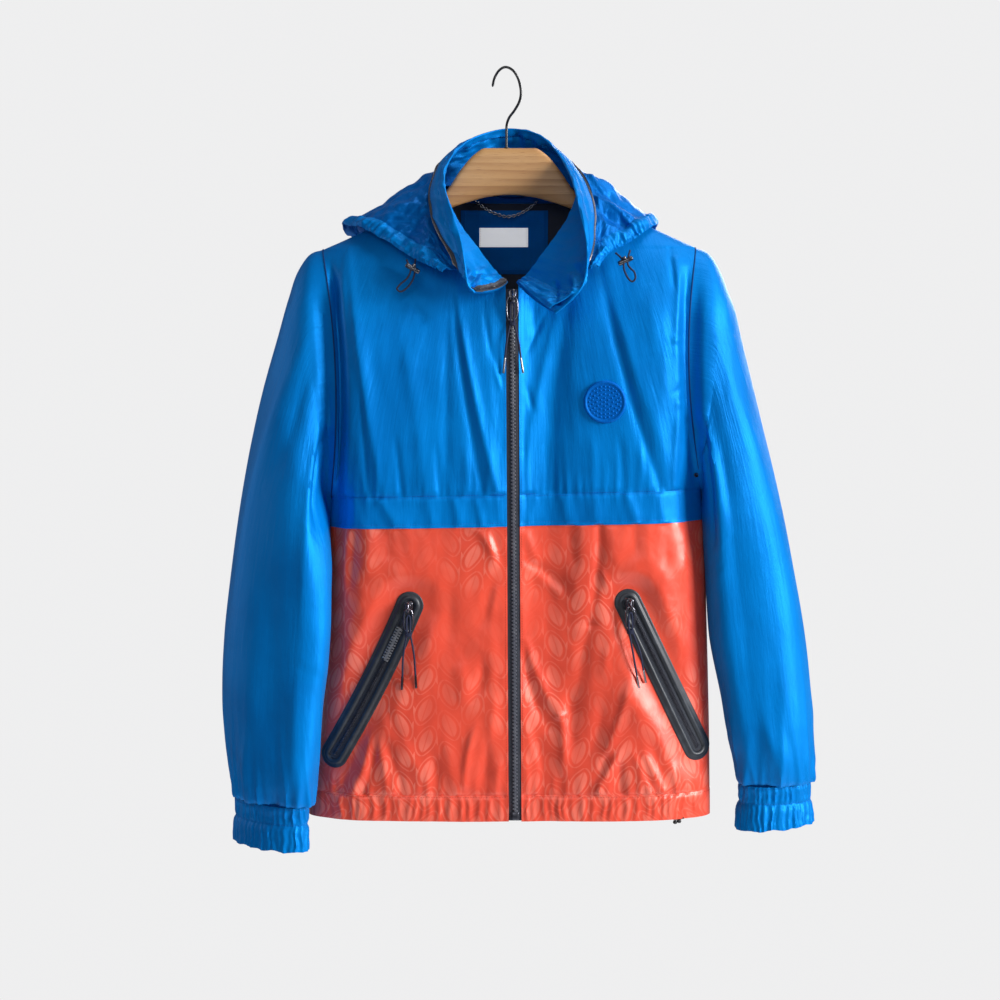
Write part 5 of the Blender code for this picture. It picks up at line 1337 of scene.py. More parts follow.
# soft folds of the collar: station and height share at both ends, in mm along and 0..100 up
COLLAR_FOLDS = [
    (10, 97, 40, 34, 2, 2.6, 4, 3.4, 0.8, 0.5, 0.3), (22, 100, 56, 46, -2, 2.6, 4, -3.0, 0.8, 0.4, 0.0),
    (42, 97, 74, 52, 2, 3, 4.4, 3.2, 0.7, 0.5, 0.2), (60, 100, 86, 58, 0, 3, 4, -2.6, 0.7, 0.4, 0.0),
    (90, 97, 106, 60, 0, 4, 5, 2.4, 0.7, 0.4, 0.0), (114, 97, 124, 62, 0, 4, 5, -2.0, 0.7, 0.4, 0.0),
    (420, 95, 396, 40, 2, 3, 4, 3.0, 0.7, 0.5, 0.2), (404, 100, 380, 52, -2, 3, 4.4, -2.8, 0.7, 0.4, 0.0),
    (180, 98, 184, 62, 0, 4, 5, 2.0, 0.8, 0.3, 0.0), (238, 98, 232, 60, 0, 4, 6, -2.2, 0.8, 0.3, 0.0),
    (38, 100, 62, 20, 3, 5, 8, 1.8, 0.8, 0.3, 0.1), (70, 100, 84, 30, -3, 5, 7, -1.4, 0.8, 0.2, 0.0),
    (104, 90, 96, 10, 3, 7, 9, 1.4, 0.5, 0.3, 0.0), (330, 100, 318, 15, 3, 7, 9, 1.4, 0.5, 0.5, 0.0),
    (352, 95, 372, 20, 4, 6, 8, -2.0, 0.6, 0.3, 0.0), (384, 100, 366, 30, 3, 5, 7, 2.0, 0.9, 0.2, 0.2),
    (300, 90, 306, 20, 0, 7, 8, -1.4, 0.6, 0.3, 0.0), (140, 95, 150, 20, 0, 8, 9, -1.2, 0.6, 0.3, 0.0),
    (20, 95, 34, 25, 2, 4, 6, -1.6, 0.6, 0.3, 0.0), (404, 95, 396, 40, 2, 4, 5, 1.2, 0.7, 0.2, 0.0),
]


def collar_relief(t, v, inside):
    s = t * COLLAR_LONG
    up = (1 - v) * 80.0
    ends = smooth(t / 0.02) * smooth((1 - t) / 0.02)
    if not inside:
        h = creases(COLLAR_FOLDS, s, v * 100.0) * 0.8 + 0.5 * noise(s / 22, v * 3, 54)
        h = h + tucks(RIM_MARKS2, s, up, 1.4, 14) + tucks(RIM_MARKS, s, np.abs(up - 10), 1.1, 7)
        h = h - 1.3 * np.exp(-((up - 10) / 1.5) ** 2) + 0.8 * noise(s / 14, v * 4, 59)
        return h * ends * smooth(v / 0.12)
    h = -creases(COLLAR_FOLDS, s, v * 100.0) * 1.5 - 1.3 * np.exp(-((up - 10) / 1.5) ** 2)
    near = smooth((0.16 - np.minimum(t, 1.06 - t)) / 0.08) + smooth((t - 0.30) / 0.08) * smooth((0.62 - t) / 0.08)
    h = h + (1 + 1.1 * near) * (tucks(RIM_MARKS, s, np.abs(up - 10), 2.3, 12)
                                + tucks(RIM_MARKS2, s, np.clip(up - 12, 0, None), 1.5, 34))
    h = h + near * (2.6 * noise(s / 12, v * 5, 57) + 2.2 * crinkle(s / 18, v * 5, 58))
    h = h + 0.9 * noise(s / 16, v * 5, 55) + 0.5 * crinkle(s / 20, v * 5, 56) + tucks(SEAM_MARKS, s, v * 80.0, 1.0, 18)
    return h * ends * smooth((1 - v) / 0.05)


nt = 300
T = np.linspace(0, 1, nt)[:, None]
v_out = np.linspace(0, 1, 30)
rim = np.linspace(0, np.pi, 7)[1:-1]
v_in = np.linspace(1, 0, 34)
cols = [collar_point(T, v_out[None, :], collar_relief(T, v_out[None, :], False) + 0.2)]
half = COLLAR_THICK / 2
cols.append(collar_point(T, 1 + 0.016 * np.sin(rim)[None, :] + 0 * T, (-half + half * np.cos(rim))[None, :] + 0 * T + 0.1))
cols.append(collar_point(T, v_in[None, :], -COLLAR_THICK - collar_relief(T, v_in[None, :], True)))
P = np.concatenate(cols, 1)
nv = P.shape[1]
verts = P.reshape(-1, 3)
faces = quads(nt, nv, False)
# close the seam edge and both ends
idx = np.arange(nt * nv).reshape(nt, nv)
bottom = np.stack([idx[:-1, -1], idx[1:, -1], idx[1:, 0], idx[:-1, 0]], -1)
ends = []
m = len(v_out)
for row, rev in ((0, False), (nt - 1, True)):
    ring_idx = list(idx[row])
    ends.append(tuple(ring_idx[::-1] if not rev else ring_idx))
face_list = [tuple(q) for q in np.concatenate([faces, bottom]).tolist()] + [tuple(int(q) for q in e) for e in ends]
# faces look outward: the outer face's normal points away from the neck
v_run = np.concatenate([v_out * 80, [80, 80.5, 81, 81.5, 82], 82 + (1 - v_in) * 80])
uv = np.stack(np.broadcast_arrays(T * COLLAR_LONG, v_run[None, :]), -1).reshape(-1, 2) / 100.0
test = np.cross(P[150, 5] - P[149, 5], P[149, 6] - P[149, 5])
outward = collar_point(0.5, 0.15, 1.0) - collar_point(0.5, 0.15, 0.0)
if test @ outward < 0:
    face_list = [f[::-1] for f in face_list]
mat_of = np.zeros(len(face_list))
add_piece("shell_collar", verts, face_list, ("blue",), mat_of, uv, replaces=("collar",), sharp=50.0)

# ---------------------------------------------------------------- hood
HOOD_T = np.array([r[0] for r in HOOD])
Z0, Z1 = 0.135, 0.865


def hood_value(t, k):
    t = np.asarray(t, float)
    i = np.clip(np.searchsorted(HOOD_T, t, side="left") - 1, 0, len(HOOD) - 2)
    col = np.array([r[k] for r in HOOD], float)
    ia, ic, idd = np.maximum(i - 1, 0), i + 1, np.minimum(i + 2, len(HOOD) - 1)
    tb, tc = HOOD_T[i], HOOD_T[ic]
    u = (t - tb) / (tc - tb)
    mb = (col[ic] - col[ia]) / (tc - HOOD_T[ia]) * (tc - tb)
    mc = (col[idd] - col[i]) / (HOOD_T[idd] - tb) * (tc - tb)
    return ((1 + 2 * u) * (1 - u) ** 2 * col[i] + u * (1 - u) ** 2 * mb
            + u * u * (3 - 2 * u) * col[ic] + u * u * (u - 1) * mc)


def clear_of_body(p, gap):
    x, y, z = p[..., 0], p[..., 1], p[..., 2]
    ax = np.abs(x)
    top = np.where(ax > 62, ridge_z(ax), -110.0)
    lim = np.where(x < 0, 219.0, 213.0) + 10
    free = (z > top + gap) | (ax > lim) | ((y >= 0) & (ax < 80) & (z > neck_b(ax)))
    zz = np.minimum(z, top - 0.5)
    base = np.zeros_like(x)
    for side in SIDES:
        for face in "FB":
            d, reach = section(side, face, zz)
            r = np.minimum(ax / reach, 1.0)
            b = d * np.maximum(1 - r ** BULGE_N, 0) ** (1 / BULGE_N) + (4.0 if face == "B" else 5.0)
            here = ((x < 0) == (side == "rt")) & ((y < 0) == (face == "F"))
            base = np.where(here, b, base)
    push = ~free & (np.abs(y) < base + gap)
    q = p.copy()
    q[..., 1] = np.where(push, (base + gap) * np.where(y < 0, -1, 1), y)
    return q


def zip_v(tc):
    """Height of the hood zip on the collar: lower at the sides and the back."""
    return 0.68 - 0.19 * smooth((0.36 - np.abs(np.asarray(tc) - 0.5)) / 0.16)


def hood_point(t, v):
    t, v = np.broadcast_arrays(np.asarray(t, float), np.asarray(v, float))
    tc = lerp(Z0, Z1, t)
    low = zip_v(tc) - 0.13
    start = collar_point(tc, low, np.full(t.shape, 4.6))
    away = collar_point(tc, low, np.ones(t.shape)) - collar_point(tc, low)
    e = np.stack([hood_value(t, 1), hood_value(t, 2), hood_value(t, 3)], -1)
    rise, sag, swing = (hood_value(t, k)[..., None] for k in (4, 5, 6))
    chord = e - start
    down, back = np.array([0, 0, -1.0]), np.array([0, 1.0, 0])
    k = np.minimum(1.0, np.maximum(0.0, sag) / 120)
    h0 = start + chord * (0.33 - 0.28 * k) + away * swing * 0.4 - down * rise * 0.8 + down * sag * 1.30
    h1 = e - chord * (0.33 - 0.28 * k) - down * rise * 0.9 + down * sag * 1.05 + back * swing * k
    v = v[..., None]
    p = (1 - v) ** 3 * start + 3 * v * (1 - v) ** 2 * h0 + 3 * v * v * (1 - v) * h1 + v ** 3 * e
    return clear_of_body(p, 4.0)


def hood_split(t):
    """v where the channel starts, 17 mm back from the mouth edge, for each t."""
    steps = 1 - 0.02 * np.arange(30)
    P = hood_point(t[:, None], steps[None, :])
    run = np.concatenate([np.zeros((len(t), 1)), np.cumsum(np.linalg.norm(np.diff(P, axis=1), axis=-1), 1)], 1)
    out = []
    for r in run:
        out.append(float(np.interp(17.0, r, steps)) if r[-1] > 17 else 0.45)
    return np.array(out)


# folds of the hood: place round the zip (0..100) and from zip to mouth (0..100)
HOOD_FOLDS = [
    (12, 4, 10, 92, 0, 1.6, 2.4, 3.0, 0.5, 0.6, 0.2), (18, 4, 17, 90, 0.6, 1.4, 2.2, -3.0, 0.5, 0.6, 0.0),
    (23, 2, 25, 96, 0, 1.4, 2.4, 3.6, 0.5, 0.7, 0.2), (28, 2, 31, 96, 0.5, 1.2, 2.0, -3.0, 0.5, 0.7, 0.0),
    (6, 10, 4, 90, 0, 1.4, 1.8, 1.8, 0.3, 0.6, 0.1), (33, 5, 36, 90, 0, 1.6, 2.6, 4.0, 0.5, 0.7, 0.0),
    (97, 10, 96, 90, 0, 1.2, 1.8, 2.0, 0.4, 0.6, 0.1), (92, 3, 91, 94, 0.4, 1.1, 1.9, 3.0, 0.6, 0.7, 0.2),
    (88.5, 3, 86, 94, 0.4, 1.0, 1.8, -2.6, 0.6, 0.7, 0.0), (85, 2, 81, 95, 0.5, 1.1, 2.0, 3.4, 0.7, 0.8, 0.25),
    (81.5, 2, 77, 95, 0.5, 1.0, 1.7, -2.8, 0.7, 0.7, 0.0), (78.5, 2, 73, 96, 0.5, 1.0, 1.9, 3.6, 0.7, 0.8, 0.2),
    (75, 2, 70, 96, 0.4, 1.0, 1.7, -3.0, 0.7, 0.7, 0.0), (71, 2, 66, 96, 0, 1.2, 2.2, 4.0, 0.6, 0.8, 0.0),
    (44, 10, 43, 95, 0, 2.0, 3.0, 5.0, 0.4, 0.8, 0.0), (50, 12, 51, 95, 0, 2.0, 2.6, -5.0, 0.3, 0.7, 0.0),
    (57, 10, 58, 95, 0, 2.0, 2.8, 5.0, 0.4, 0.8, 0.0), (39, 20, 40, 95, 0, 1.6, 2.2, -4.0, 0.3, 0.8, 0.0),
    (62, 20, 61, 95, 0, 1.6, 2.2, -4.0, 0.3, 0.8, 0.0), (47, 40, 47.5, 98, 0, 1.2, 1.6, 3.0, 0.0, 0.9, 0.0),
    (54, 40, 54.5, 98, 0, 1.2, 1.6, 3.0, 0.0, 0.9, 0.0),
]
MOUTH_MARKS = gather_marks(0, 1000, 13.0, 61)


def hood_relief(t, v):
    h = creases(HOOD_FOLDS, t * 100.0, v * 100.0)
    h = h + 1.6 * noise(t * 22, v * 3.0, 62) + 0.8 * noise(t * 50, v * 5.0 + t * 8, 63)
    h = h + tucks(MOUTH_MARKS, t * 1000.0, (1 - v) * 90.0, 2.2, 26)
    h = h + 1.2 * crinkle(t * 26, v * 3.4, 67) + 1.4 * noise(t * 34 - v * 6, v * 2.0 + t * 9, 68)
    return 1.3 * h * smooth(v / 0.10)


def hood_surface(t, v):
    P = hood_point(t, v)
    N = normals(P)
    ref = P - np.array([0, 10.0, -215.0])
    side = -1.0 if np.sum(N * ref) < 0 else 1.0
    h = hood_relief(t, v) * smooth((1 - np.abs(t - 0.5) * 2) / 0.04)
    return P + N * side * h[..., None], N * side


for name, lo, hi in (("hood_rt", 0.0, 0.5), ("hood_lt", 0.5, 1.0)):
    t = np.linspace(lo, hi, 130)
    vs = hood_split(t)
    v = np.linspace(0, 1, 54)[None, :] * vs[:, None]
    P, N = hood_surface(t[:, None] + 0 * v, v)
    shell("shell_" + name, P, 0.6, ("hood", "hood"), out=N, replaces=(name,))
t = np.linspace(0, 1, 420)
vs = hood_split(t)
w = np.linspace(0, 1, 11)[None, :]
v = lerp(vs[:, None] - 0.004, 1.0, w)
P, N = hood_surface(t[:, None] + 0 * v, v)
run = np.concatenate([[0], np.cumsum(np.linalg.norm(np.diff(P[:, 5], axis=0), axis=1))])
marks = gather_marks(0, run[-1], 15.0, 64)
puff = 3.4 * np.sin(np.pi * w) ** 0.6 + tucks(marks, run[:, None] + 6.0 * w, 0 * w, 2.2, 30) * (0.3 + 0.7 * np.sin(np.pi * w))
puff = puff + 1.9 * noise(run[:, None] / 21 + 0.5 * w, w * 2.0, 65) + 1.1 * crinkle(run[:, None] / 24, w * 1.6, 66)
P = P + N * puff[..., None]
shell("shell_hood_channel", P, 1.8, ("blue", "blue"), out=N, replaces=("hood_channel",))

# ---------------------------------------------------------------- places on the front


def front_at(x, z, out=0.0, relief=front_relief):
    x, z = np.broadcast_arrays(np.asarray(x, float), np.asarray(z, float))

    def f(a, b):
        return np.where((a < 0)[..., None], body("rt", "F", a, b, relief), body("lt", "F", a, b, relief))
    p = f(x, z)
    if np.any(out):
        e = 0.8
        n = unit(np.cross(f(x + e, z) - f(x - e, z), f(x, z + e) - f(x, z - e)))
        p = p + n * np.asarray(out, float)[..., None]
    return p


def front_normal(x, z):
    e = 1.5
    g = lambda a, b: front_at(a, b, relief=None)
    return unit(np.cross(g(x + e, z) - g(x - e, z), g(x, z + e) - g(x, z - e)))


def evenly(path, step):
    """Points step apart along a path, with the run so far."""
    p = np.asarray(path, float)
    run = np.concatenate([[0], np.cumsum(np.linalg.norm(np.diff(p, axis=0), axis=1))])
    s = np.arange(step / 2, run[-1], step)
    return np.stack([np.interp(s, run, p[:, k]) for k in range(3)], -1), s


def tooth_row(path, out, side, pitch, start, reach, cross, thick, low, high, keep=None):
    """One row of zip teeth: boxes with a bevelled top that reach across the middle."""
    p = np.asarray(path, float)
    run = np.concatenate([[0], np.cumsum(np.linalg.norm(np.diff(p, axis=0), axis=1))])
    s = np.arange(start, run[-1] - thick, pitch)
    if keep is not None:
        s = s[keep(s)]
    o = np.broadcast_to(np.asarray(out, float), p.shape)

    def at(q):
        return np.stack([np.interp(q, run, p[:, k]) for k in range(3)], -1)
    c = at(s)
    t = unit(at(s + 0.4) - at(s - 0.4))
    n = unit(np.stack([np.interp(s, run, o[:, k]) for k in range(3)], -1))
    b = unit(np.cross(t, n)) * side
    mid, half = (reach - cross) / 2, (reach + cross) / 2
    V = []
    for level, a in ((low, 1.0), (lerp(low, high, 0.7), 1.0), (high, 0.66)):
        for i, j in ((-1, -1), (1, -1), (1, 1), (-1, 1)):
            V.append(c + t * (i * a * thick / 2) + b * (mid + j * a * half) + n * level)
    V = np.stack(V, 1)
    m = len(s)
    base = (np.arange(m) * 12)[:, None]
    F = [base + np.array([[3, 2, 1, 0]]), base + np.array([[8, 9, 10, 11]])]
    for lv in (0, 4):
        for k in range(4):
            q = (k + 1) % 4
            F.append(base + np.array([[lv + k, lv + q, lv + 4 + q, lv + 4 + k]]))
    F = np.concatenate(F)
    if side < 0:
        F = F[:, ::-1]
    return V.reshape(-1, 3), F, np.zeros((m * 12, 2))


def loft(levels, cap=True):
    """Closed solid through rings with the same number of points."""
    L = np.asarray(levels, float)
    m, n = L.shape[:2]
    F = []
    for i in range(m - 1):
        for j in range(n):
            k = (j + 1) % n
            F.append((i * n + j, i * n + k, (i + 1) * n + k, (i + 1) * n + j))
    if cap:
        F.append(tuple(range(n))[::-1])
        F.append(tuple(range((m - 1) * n, m * n)))
    return L.reshape(-1, 3), F, np.zeros((m * n, 2))


def outward(part):
    """The part with its faces turned outward."""
    v, f, u = part
    v = np.asarray(v, float)
    vol = 0.0
    for q in f:
        for k in range(1, len(q) - 1):
            vol += float(np.dot(v[q[0]], np.cross(v[q[k]], v[q[k + 1]])))
    if vol < 0:
        f = [tuple(q)[::-1] for q in f]
    return v, f, u


# ---------------------------------------------------------------- front zip
zz = np.linspace(ZIP_TOP, HEM_Z + 1.0, 260)
for side in SIDES:
    s = SIGN[side]
    xs = np.array([0.15, 1.6, 3.2, 5.2, 6.6, 8.8])[None, :]
    dip = np.array([0.5, 0.5, 0.55, 0.7, 0.95, 1.35])[None, :]
    P = body(side, "F", s * xs, zz[:, None])
    P = P + np.array([0, 1.0, 0]) * (dip + 0.12 * noise(zz / 9.0, zz * 0 + s, 71)[:, None])[..., None]
    shell("shell_zip_" + side, P, 0.7, "ziptape", out=FACE_OUT["F"], replaces=("zip_" + side,))
line = body("lt", "F", 0.001, zz) + np.array([0, 0.5, 0])
rows = [tooth_row(line, FACE_OUT["F"], sd, 4.2, 1.4 + (2.1 if sd > 0 else 0), 2.9, 1.3, 2.1, -0.2, 1.75,
                  lambda q: q > 10.0) for sd in (1, -1)]
add_piece("zip_teeth_front", *(lambda j: (j[0], j[1]))(joined(rows)), "teeth_front", uv=joined(rows)[2], sharp=30.0)
# the stop at the foot
stop = []
for dz in (0.0, 2.2):
    c = body("lt", "F", 0.0, HEM_Z + 5.0) + np.array([0, -1.0, 0])
ring_a = np.linspace(0, 2 * np.pi, 16, endpoint=False)


def rounded(w, h, power, n=24):
    a = np.linspace(0, 2 * np.pi, n, endpoint=False)
    c, s2 = np.cos(a), np.sin(a)
    return np.stack([w / 2 * np.sign(c) * np.abs(c) ** (2 / power), h / 2 * np.sign(s2) * np.abs(s2) ** (2 / power)], -1)


def plate(centre, across, up, out, w, h, levels, power=4.0, taper=0.0, n=24):
    """Soft-edged plate: levels are (height, scale)."""
    o2 = rounded(w, h, power, n)
    rings2 = []
    for z, k in levels:
        x = o2[:, 0] * k * (1 + taper * o2[:, 1] / h)
        rings2.append(centre + x[:, None] * across + (o2[:, 1] * k)[:, None] * up + z * out)
    return outward(loft(rings2))


X3, Z3 = np.array([1.0, 0, 0]), np.array([0, 0, 1.0])
foot = body("lt", "F", 0.0, HEM_Z + 6.5)
add_piece("zip_box_front", *plate(foot + np.array([0, 0.4, 0]), X3, Z3, FACE_OUT["F"], 8.6, 9.0,
          [(-0.3, 0.96), (0.2, 1.0), (2.0, 1.0), (2.5, 0.86)], 5.0)[:2], "teeth", sharp=40.0)
for side in SIDES:
    s = SIGN[side]
    for off in (9.4,):
        z2 = np.linspace(-262, HEM_Z + 2.0, 700)
        path = front_at(s * off, z2)
        cut = np.searchsorted(-z2, -(RED[side]))
        stitches("stitch_zip_blue_" + side, path[:cut], FACE_OUT["F"], 2.9, 2.1, 0.24)
        stitches("stitch_zip_red_" + side, path[cut:], FACE_OUT["F"], 2.9, 2.1, 0.24, "thread_red")

# ---------------------------------------------------------------- sliders, pulls, cords
CORD = 2.2


def smooth_route(points, n):
    return through(points, np.linspace(0, 1, n))


def polyline(p):
    return float(np.linalg.norm(np.diff(p, axis=0), axis=1).sum())


def pull_set(tag, at, ring_w, ring_l, tails, tip_len, out, tip_mat):
    x, z = at
    bod = "pull_%s_body" % tag
    n = front_normal(x, z)
    seat = front_at(x, z, relief=None) + n * out
    up = unit(Z3 - n * (Z3 @ n))
    across = np.cross(up, n) * -1
    body_part = plate(seat + n * 0.7, across, up, n, 9.2, 12.6, [(0, 0.93), (0.5, 1.0), (2.6, 1.0), (3.3, 0.9), (3.6, 0.74)],
                      3.4, 0.22)
    waist = plate(seat + n * 4.2, across, up, n, 4.6, 7.6, [(-0.4, 1.05), (0.6, 1.0), (1.1, 0.8)], 3.0)
    arch_pts = [seat + up * a + n * b for a, b in ((4.6, 3.9), (4.3, 6.4), (1.6, 8.4), (-2.5, 8.9), (-4.9, 7.2), (-5.2, 4.2))]
    arch = outward(tube_mesh(smooth_route(arch_pts, 28), 1.05, 12, flat=1.7))
    add_piece("shell_slider_" + tag, *joined([body_part, waist, arch])[:2], "gunmetal", ride=ROOT,
              replaces=("slider_" + tag,), sharp=38.0)
    pin = seat + n * 6.6 + np.array([0, 0, -2.5])
    pts = []
    for i in range(72):
        a = 2 * math.pi * i / 72
        c, s = math.cos(a), math.sin(a)
        px = 0.5 * ring_w * math.copysign(abs(s) ** 0.62, s)
        pz = -0.5 * ring_l * (1 - math.copysign(abs(c) ** 0.86, c))
        pts.append(pin + np.array([px, 0, pz]))
    add_piece("shell_pull_" + tag, *outward(tube_mesh(np.array(pts), 1.1, 14, closed=True))[:2], "pull", ride=bod,
              replaces=("pull_" + tag,), sharp=60.0)
    top = {k: pin + np.array([1.7 if k == "b" else -1.7, -0.2, -ring_l - 2.6]) for k in "ab"}
    half_bight = [top["a"] + Z3 * -1.5, pin + np.array([-1.9, -2.3, -ring_l + 0.2]), pin + np.array([-2.1, -0.9, -ring_l + 6]),
                  pin + np.array([-1.9, 0.1, -9.5]), pin + np.array([0, 0.3, -6.6])]
    other = [pin + (q - pin) * np.array([-1, 1, 1]) for q in half_bight[:-1]][::-1]
    v, f, u = outward(tube_mesh(smooth_route(half_bight + other, 60), CORD / 2, 12))
    knot = []
    for dz in (-0.2, -1.7, -3.1):
        c = pin + np.array([0, -0.2, -ring_l - 2.2 + dz])
        knot.append(outward(tube_mesh(np.array([c + np.array([3.2 * math.cos(g), 1.75 * math.sin(g), 0.35 * math.sin(g)])
                                                for g in np.linspace(0, 2 * np.pi, 28, endpoint=False)]), 0.8, 8, closed=True)))
    add_piece("bight_" + tag, *(lambda j: (j[0], j[1], "cord", None, j[2]))(joined([(v, f, u)] + knot)), ride=bod)
    for k, (tx, tz, lean) in tails.items():
        end = front_at(tx, tz, relief=None) + front_normal(tx, tz) * (out + 3.2)
        mid = (top[k] + end) / 2 + np.array([lean, -2.0, 0])
        path = smooth_route([top[k], mid, end], 40)
        v, f, u = outward(tube_mesh(path, CORD / 2, 12))
        tail = add_piece("shell_tail_%s_%s" % (tag, k), v, f, "cord", None, u, ride=bod, replaces=("tail_%s_%s" % (tag, k),))
        run = unit(path[-1] - path[-3])
        run = unit(end - mid)
        a, b = end - run * 0.6, end + run * tip_len
        rr = np.array([1.25, 1.36, 1.36, 1.36, 1.36, 1.36, 1.2, 0.7])
        tt = np.array([0, 0.02, 0.06, 0.3, 0.7, 0.96, 0.985, 1.0])
        tpath = a[None, :] + (b - a)[None, :] * tt[:, None]
        v, f, u = outward(tube_mesh(tpath, rr, 16))
        tip = add_piece("shell_tip_%s_%s" % (tag, k), v, f, tip_mat, ride=bod, replaces=("tip_%s_%s" % (tag, k),), sharp=50.0)
        tuple(to_world(top[k]))
        polyline(path) * MM
        [tuple(q) for q in to_world(path)]
    return pin


pull_set("front", (0.0, -259.0), 12.5, 27.0, {"a": (-8.5, -331.0, -1.0), "b": (9.5, -331.0, 1.0)}, 17.0, 0.9, "tips")

# ---------------------------------------------------------------- pockets


def pocket_frame(side):
    (xa, za), (xb, zb) = POCKET[side]
    run = np.array([xb - xa, zb - za], float)
    length = float(np.linalg.norm(run))
    return np.array([xa, za], float), run / length, length


def stadium(side, radius, n_side=90, n_arc=34):
    """Outline of the pocket at a distance from its middle line, as (x, z) points."""
    a, d, length = pocket_frame(side)
    nrm = np.array([-d[1], d[0]])
    bend = 3.0 if side == "rt" else 0.0
    k = np.linspace(0, 1, n_side, endpoint=False)[:, None]
    g = np.linspace(0, np.pi, n_arc, endpoint=False)[:, None]
    bow = bend * 4 * k * (1 - k)
    one = a + d * length * k + nrm * (radius + bow)
    two = a + d * length + nrm * radius * np.cos(g) + d * radius * np.sin(g)
    three = a + d * length * (1 - k) + nrm * (-radius + bow)
    four = a - nrm * radius * np.cos(g) - d * radius * np.sin(g)
    return np.concatenate([one, two, three, four])


def pocket_line(side, k, w):
    a, d, length = pocket_frame(side)
    nrm = np.array([-d[1], d[0]])
    bend = 3.0 if side == "rt" else 0.0
    kk = np.clip(np.asarray(k, float) / length, 0, 1)
    return a + d * np.asarray(k, float)[..., None] + nrm * (w + bend * 4 * kk * (1 - kk))[..., None]


# the tape's section: distance from the middle line, height over the cloth
TAPE = [(15.6, 0.0), (15.4, 0.8), (14.9, 1.15), (14.0, 1.25), (12.6, 1.3), (11.6, 1.5), (10.8, 2.2), (9.9, 2.85),
        (8.8, 3.1), (7.6, 2.95), (6.7, 2.45), (6.0, 1.8), (5.5, 1.2), (5.2, 0.5)]
for side in SIDES:
    rings2, low = [], []
    for w, h in TAPE:
        o = stadium(side, w)
        wob = 0.12 * noise(np.arange(len(o)) / 17.0, np.full(len(o), w / 5.0), 72)
        rings2.append(front_at(o[:, 0], o[:, 1], h + wob + 0.001))
        low.append(front_at(o[:, 0], o[:, 1], -0.35))
    P, Q = np.stack(rings2, 1), np.stack(low, 1)
    around = np.arange(P.shape[0])[:, None] * 1.9 / 100 + 0 * P[..., 0]
    across = np.array([t[0] for t in TAPE])[None, :] / 100.0 + 0 * P[..., 0]
    shell("shell_pocket_tape_" + side, P, 1.3, "tape", closed=True, out=FACE_OUT["F"], inner=Q,
          uv=np.stack([around, across], -1), replaces=("pocket_tape_" + side,))
    # the zip in the slot: a tape with two rows of teeth
    length = pocket_frame(side)[2]
    k = np.linspace(-4.8, length + 4.8, 140)
    half_w = np.sqrt(np.clip(5.9 ** 2 - np.clip(-k, 0, None) ** 2 - np.clip(k - length, 0, None) ** 2, 4.0, None))
    q = np.linspace(-1, 1, 9)
    line = [pocket_line(side, k, half_w * qq) for qq in q]
    hh = 0.75 - 0.45 * np.abs(q) ** 2
    P = np.stack([front_at(l[:, 0], l[:, 1], np.full(len(k), h)) for l, h in zip(line, hh)], 1)
    shell("shell_pocket_zip_" + side, P, 0.8, "ziptape", out=FACE_OUT["F"], replaces=("pocket_zip_" + side,))
    k2 = np.linspace(4.0, length + 2.0, 200)
    mid = pocket_line(side, k2, 0 * k2)
    path = front_at(mid[:, 0], mid[:, 1], 0.75)
    out_n = front_normal(mid[:, 0], mid[:, 1])
    # on the wearer's right pocket, a run of teeth is made silver where the teeth catch the light: painted highlight;
    # the other teeth are dark
    painted_glint_run = (lambda s2: (s2 > 24) & (s2 < 66)) if side == "rt" else (lambda s2: s2 < -1)
    dark = (lambda s2: ~painted_glint_run(s2)) if side == "rt" else (lambda s2: s2 > -1)
    rows = [tooth_row(path, out_n, sd, 2.2, 0.6 + (1.1 if sd > 0 else 0), 2.3, 0.8, 1.2, -0.1, 1.25, dark) for sd in (1, -1)]
    j = joined(rows)
    add_piece("zip_teeth_pocket_" + side, j[0], j[1], "teeth", sharp=30.0)
    if side == "rt":
        rows = [tooth_row(path, out_n, sd, 3.2, 0.6 + (1.6 if sd > 0 else 0), 4.0, 1.2, 1.9, -0.1, 1.5, painted_glint_run) for sd in (1, -1)]
        j = joined(rows)
        add_piece("zip_teeth_pocket_rt_worn", j[0], j[1], "teeth_silver", sharp=30.0)

pull_set("pocket_rt", (-117.0, -612.0), 9.5, 24.0, {"a": (-124.5, -692.0, -1.5), "b": (-110.0, -690.0, 1.5)}, 15.0,
         LAY + 2.2, "tips_dark")
pull_set("pocket_lt", (132.0, -609.0), 9.5, 24.0, {"a": (140.0, -691.0, 0.0), "b": (147.5, -685.0, 2.0)}, 15.0,
         LAY + 2.2, "tips")

# ---------------------------------------------------------------- badge: rim, dish and a ring of studs
r = np.concatenate([np.linspace(0, 19.5, 14), [20.2, 20.8, 21.6, 22.6, 23.4, 23.9, 24.0]])
hgt = np.concatenate([np.full(14, 1.5), [1.75, 2.3, 2.75, 2.75, 2.35, 1.4, 0.2]])
hgt[:14] = 1.45 + 0.25 * (np.linspace(0, 1, 14) ** 2)
g = np.linspace(0, 2 * np.pi, 96, endpoint=False)
BX, BZ = 104.5, -380.0
grid_x, grid_z = BX + r[None, :] * np.cos(g)[:, None], BZ + r[None, :] * np.sin(g)[:, None]
b_n = front_normal(BX, BZ)
level = front_at(BX, BZ, relief=lambda s, x, z: front_relief(s, x, z))
flat = front_at(grid_x, grid_z)
tang = flat[:, -1].mean(0)
P = flat * 0.35 + 0.65 * (np.stack([grid_x + (tang[0] - BX), np.full(grid_x.shape, tang[1]), grid_z], -1)
                          + np.array([0, 1.0, 0]) * 0.0)
slope = front_at(np.array([BX - 24, BX + 24]), np.array([BZ, BZ]))[:, 1]
vert = front_at(np.array([BX, BX]), np.array([BZ - 24, BZ + 24]))[:, 1]
plane_y = tang[1] + (grid_x - BX) * (slope[1] - slope[0]) / 48 + (grid_z - BZ) * (vert[1] - vert[0]) / 48
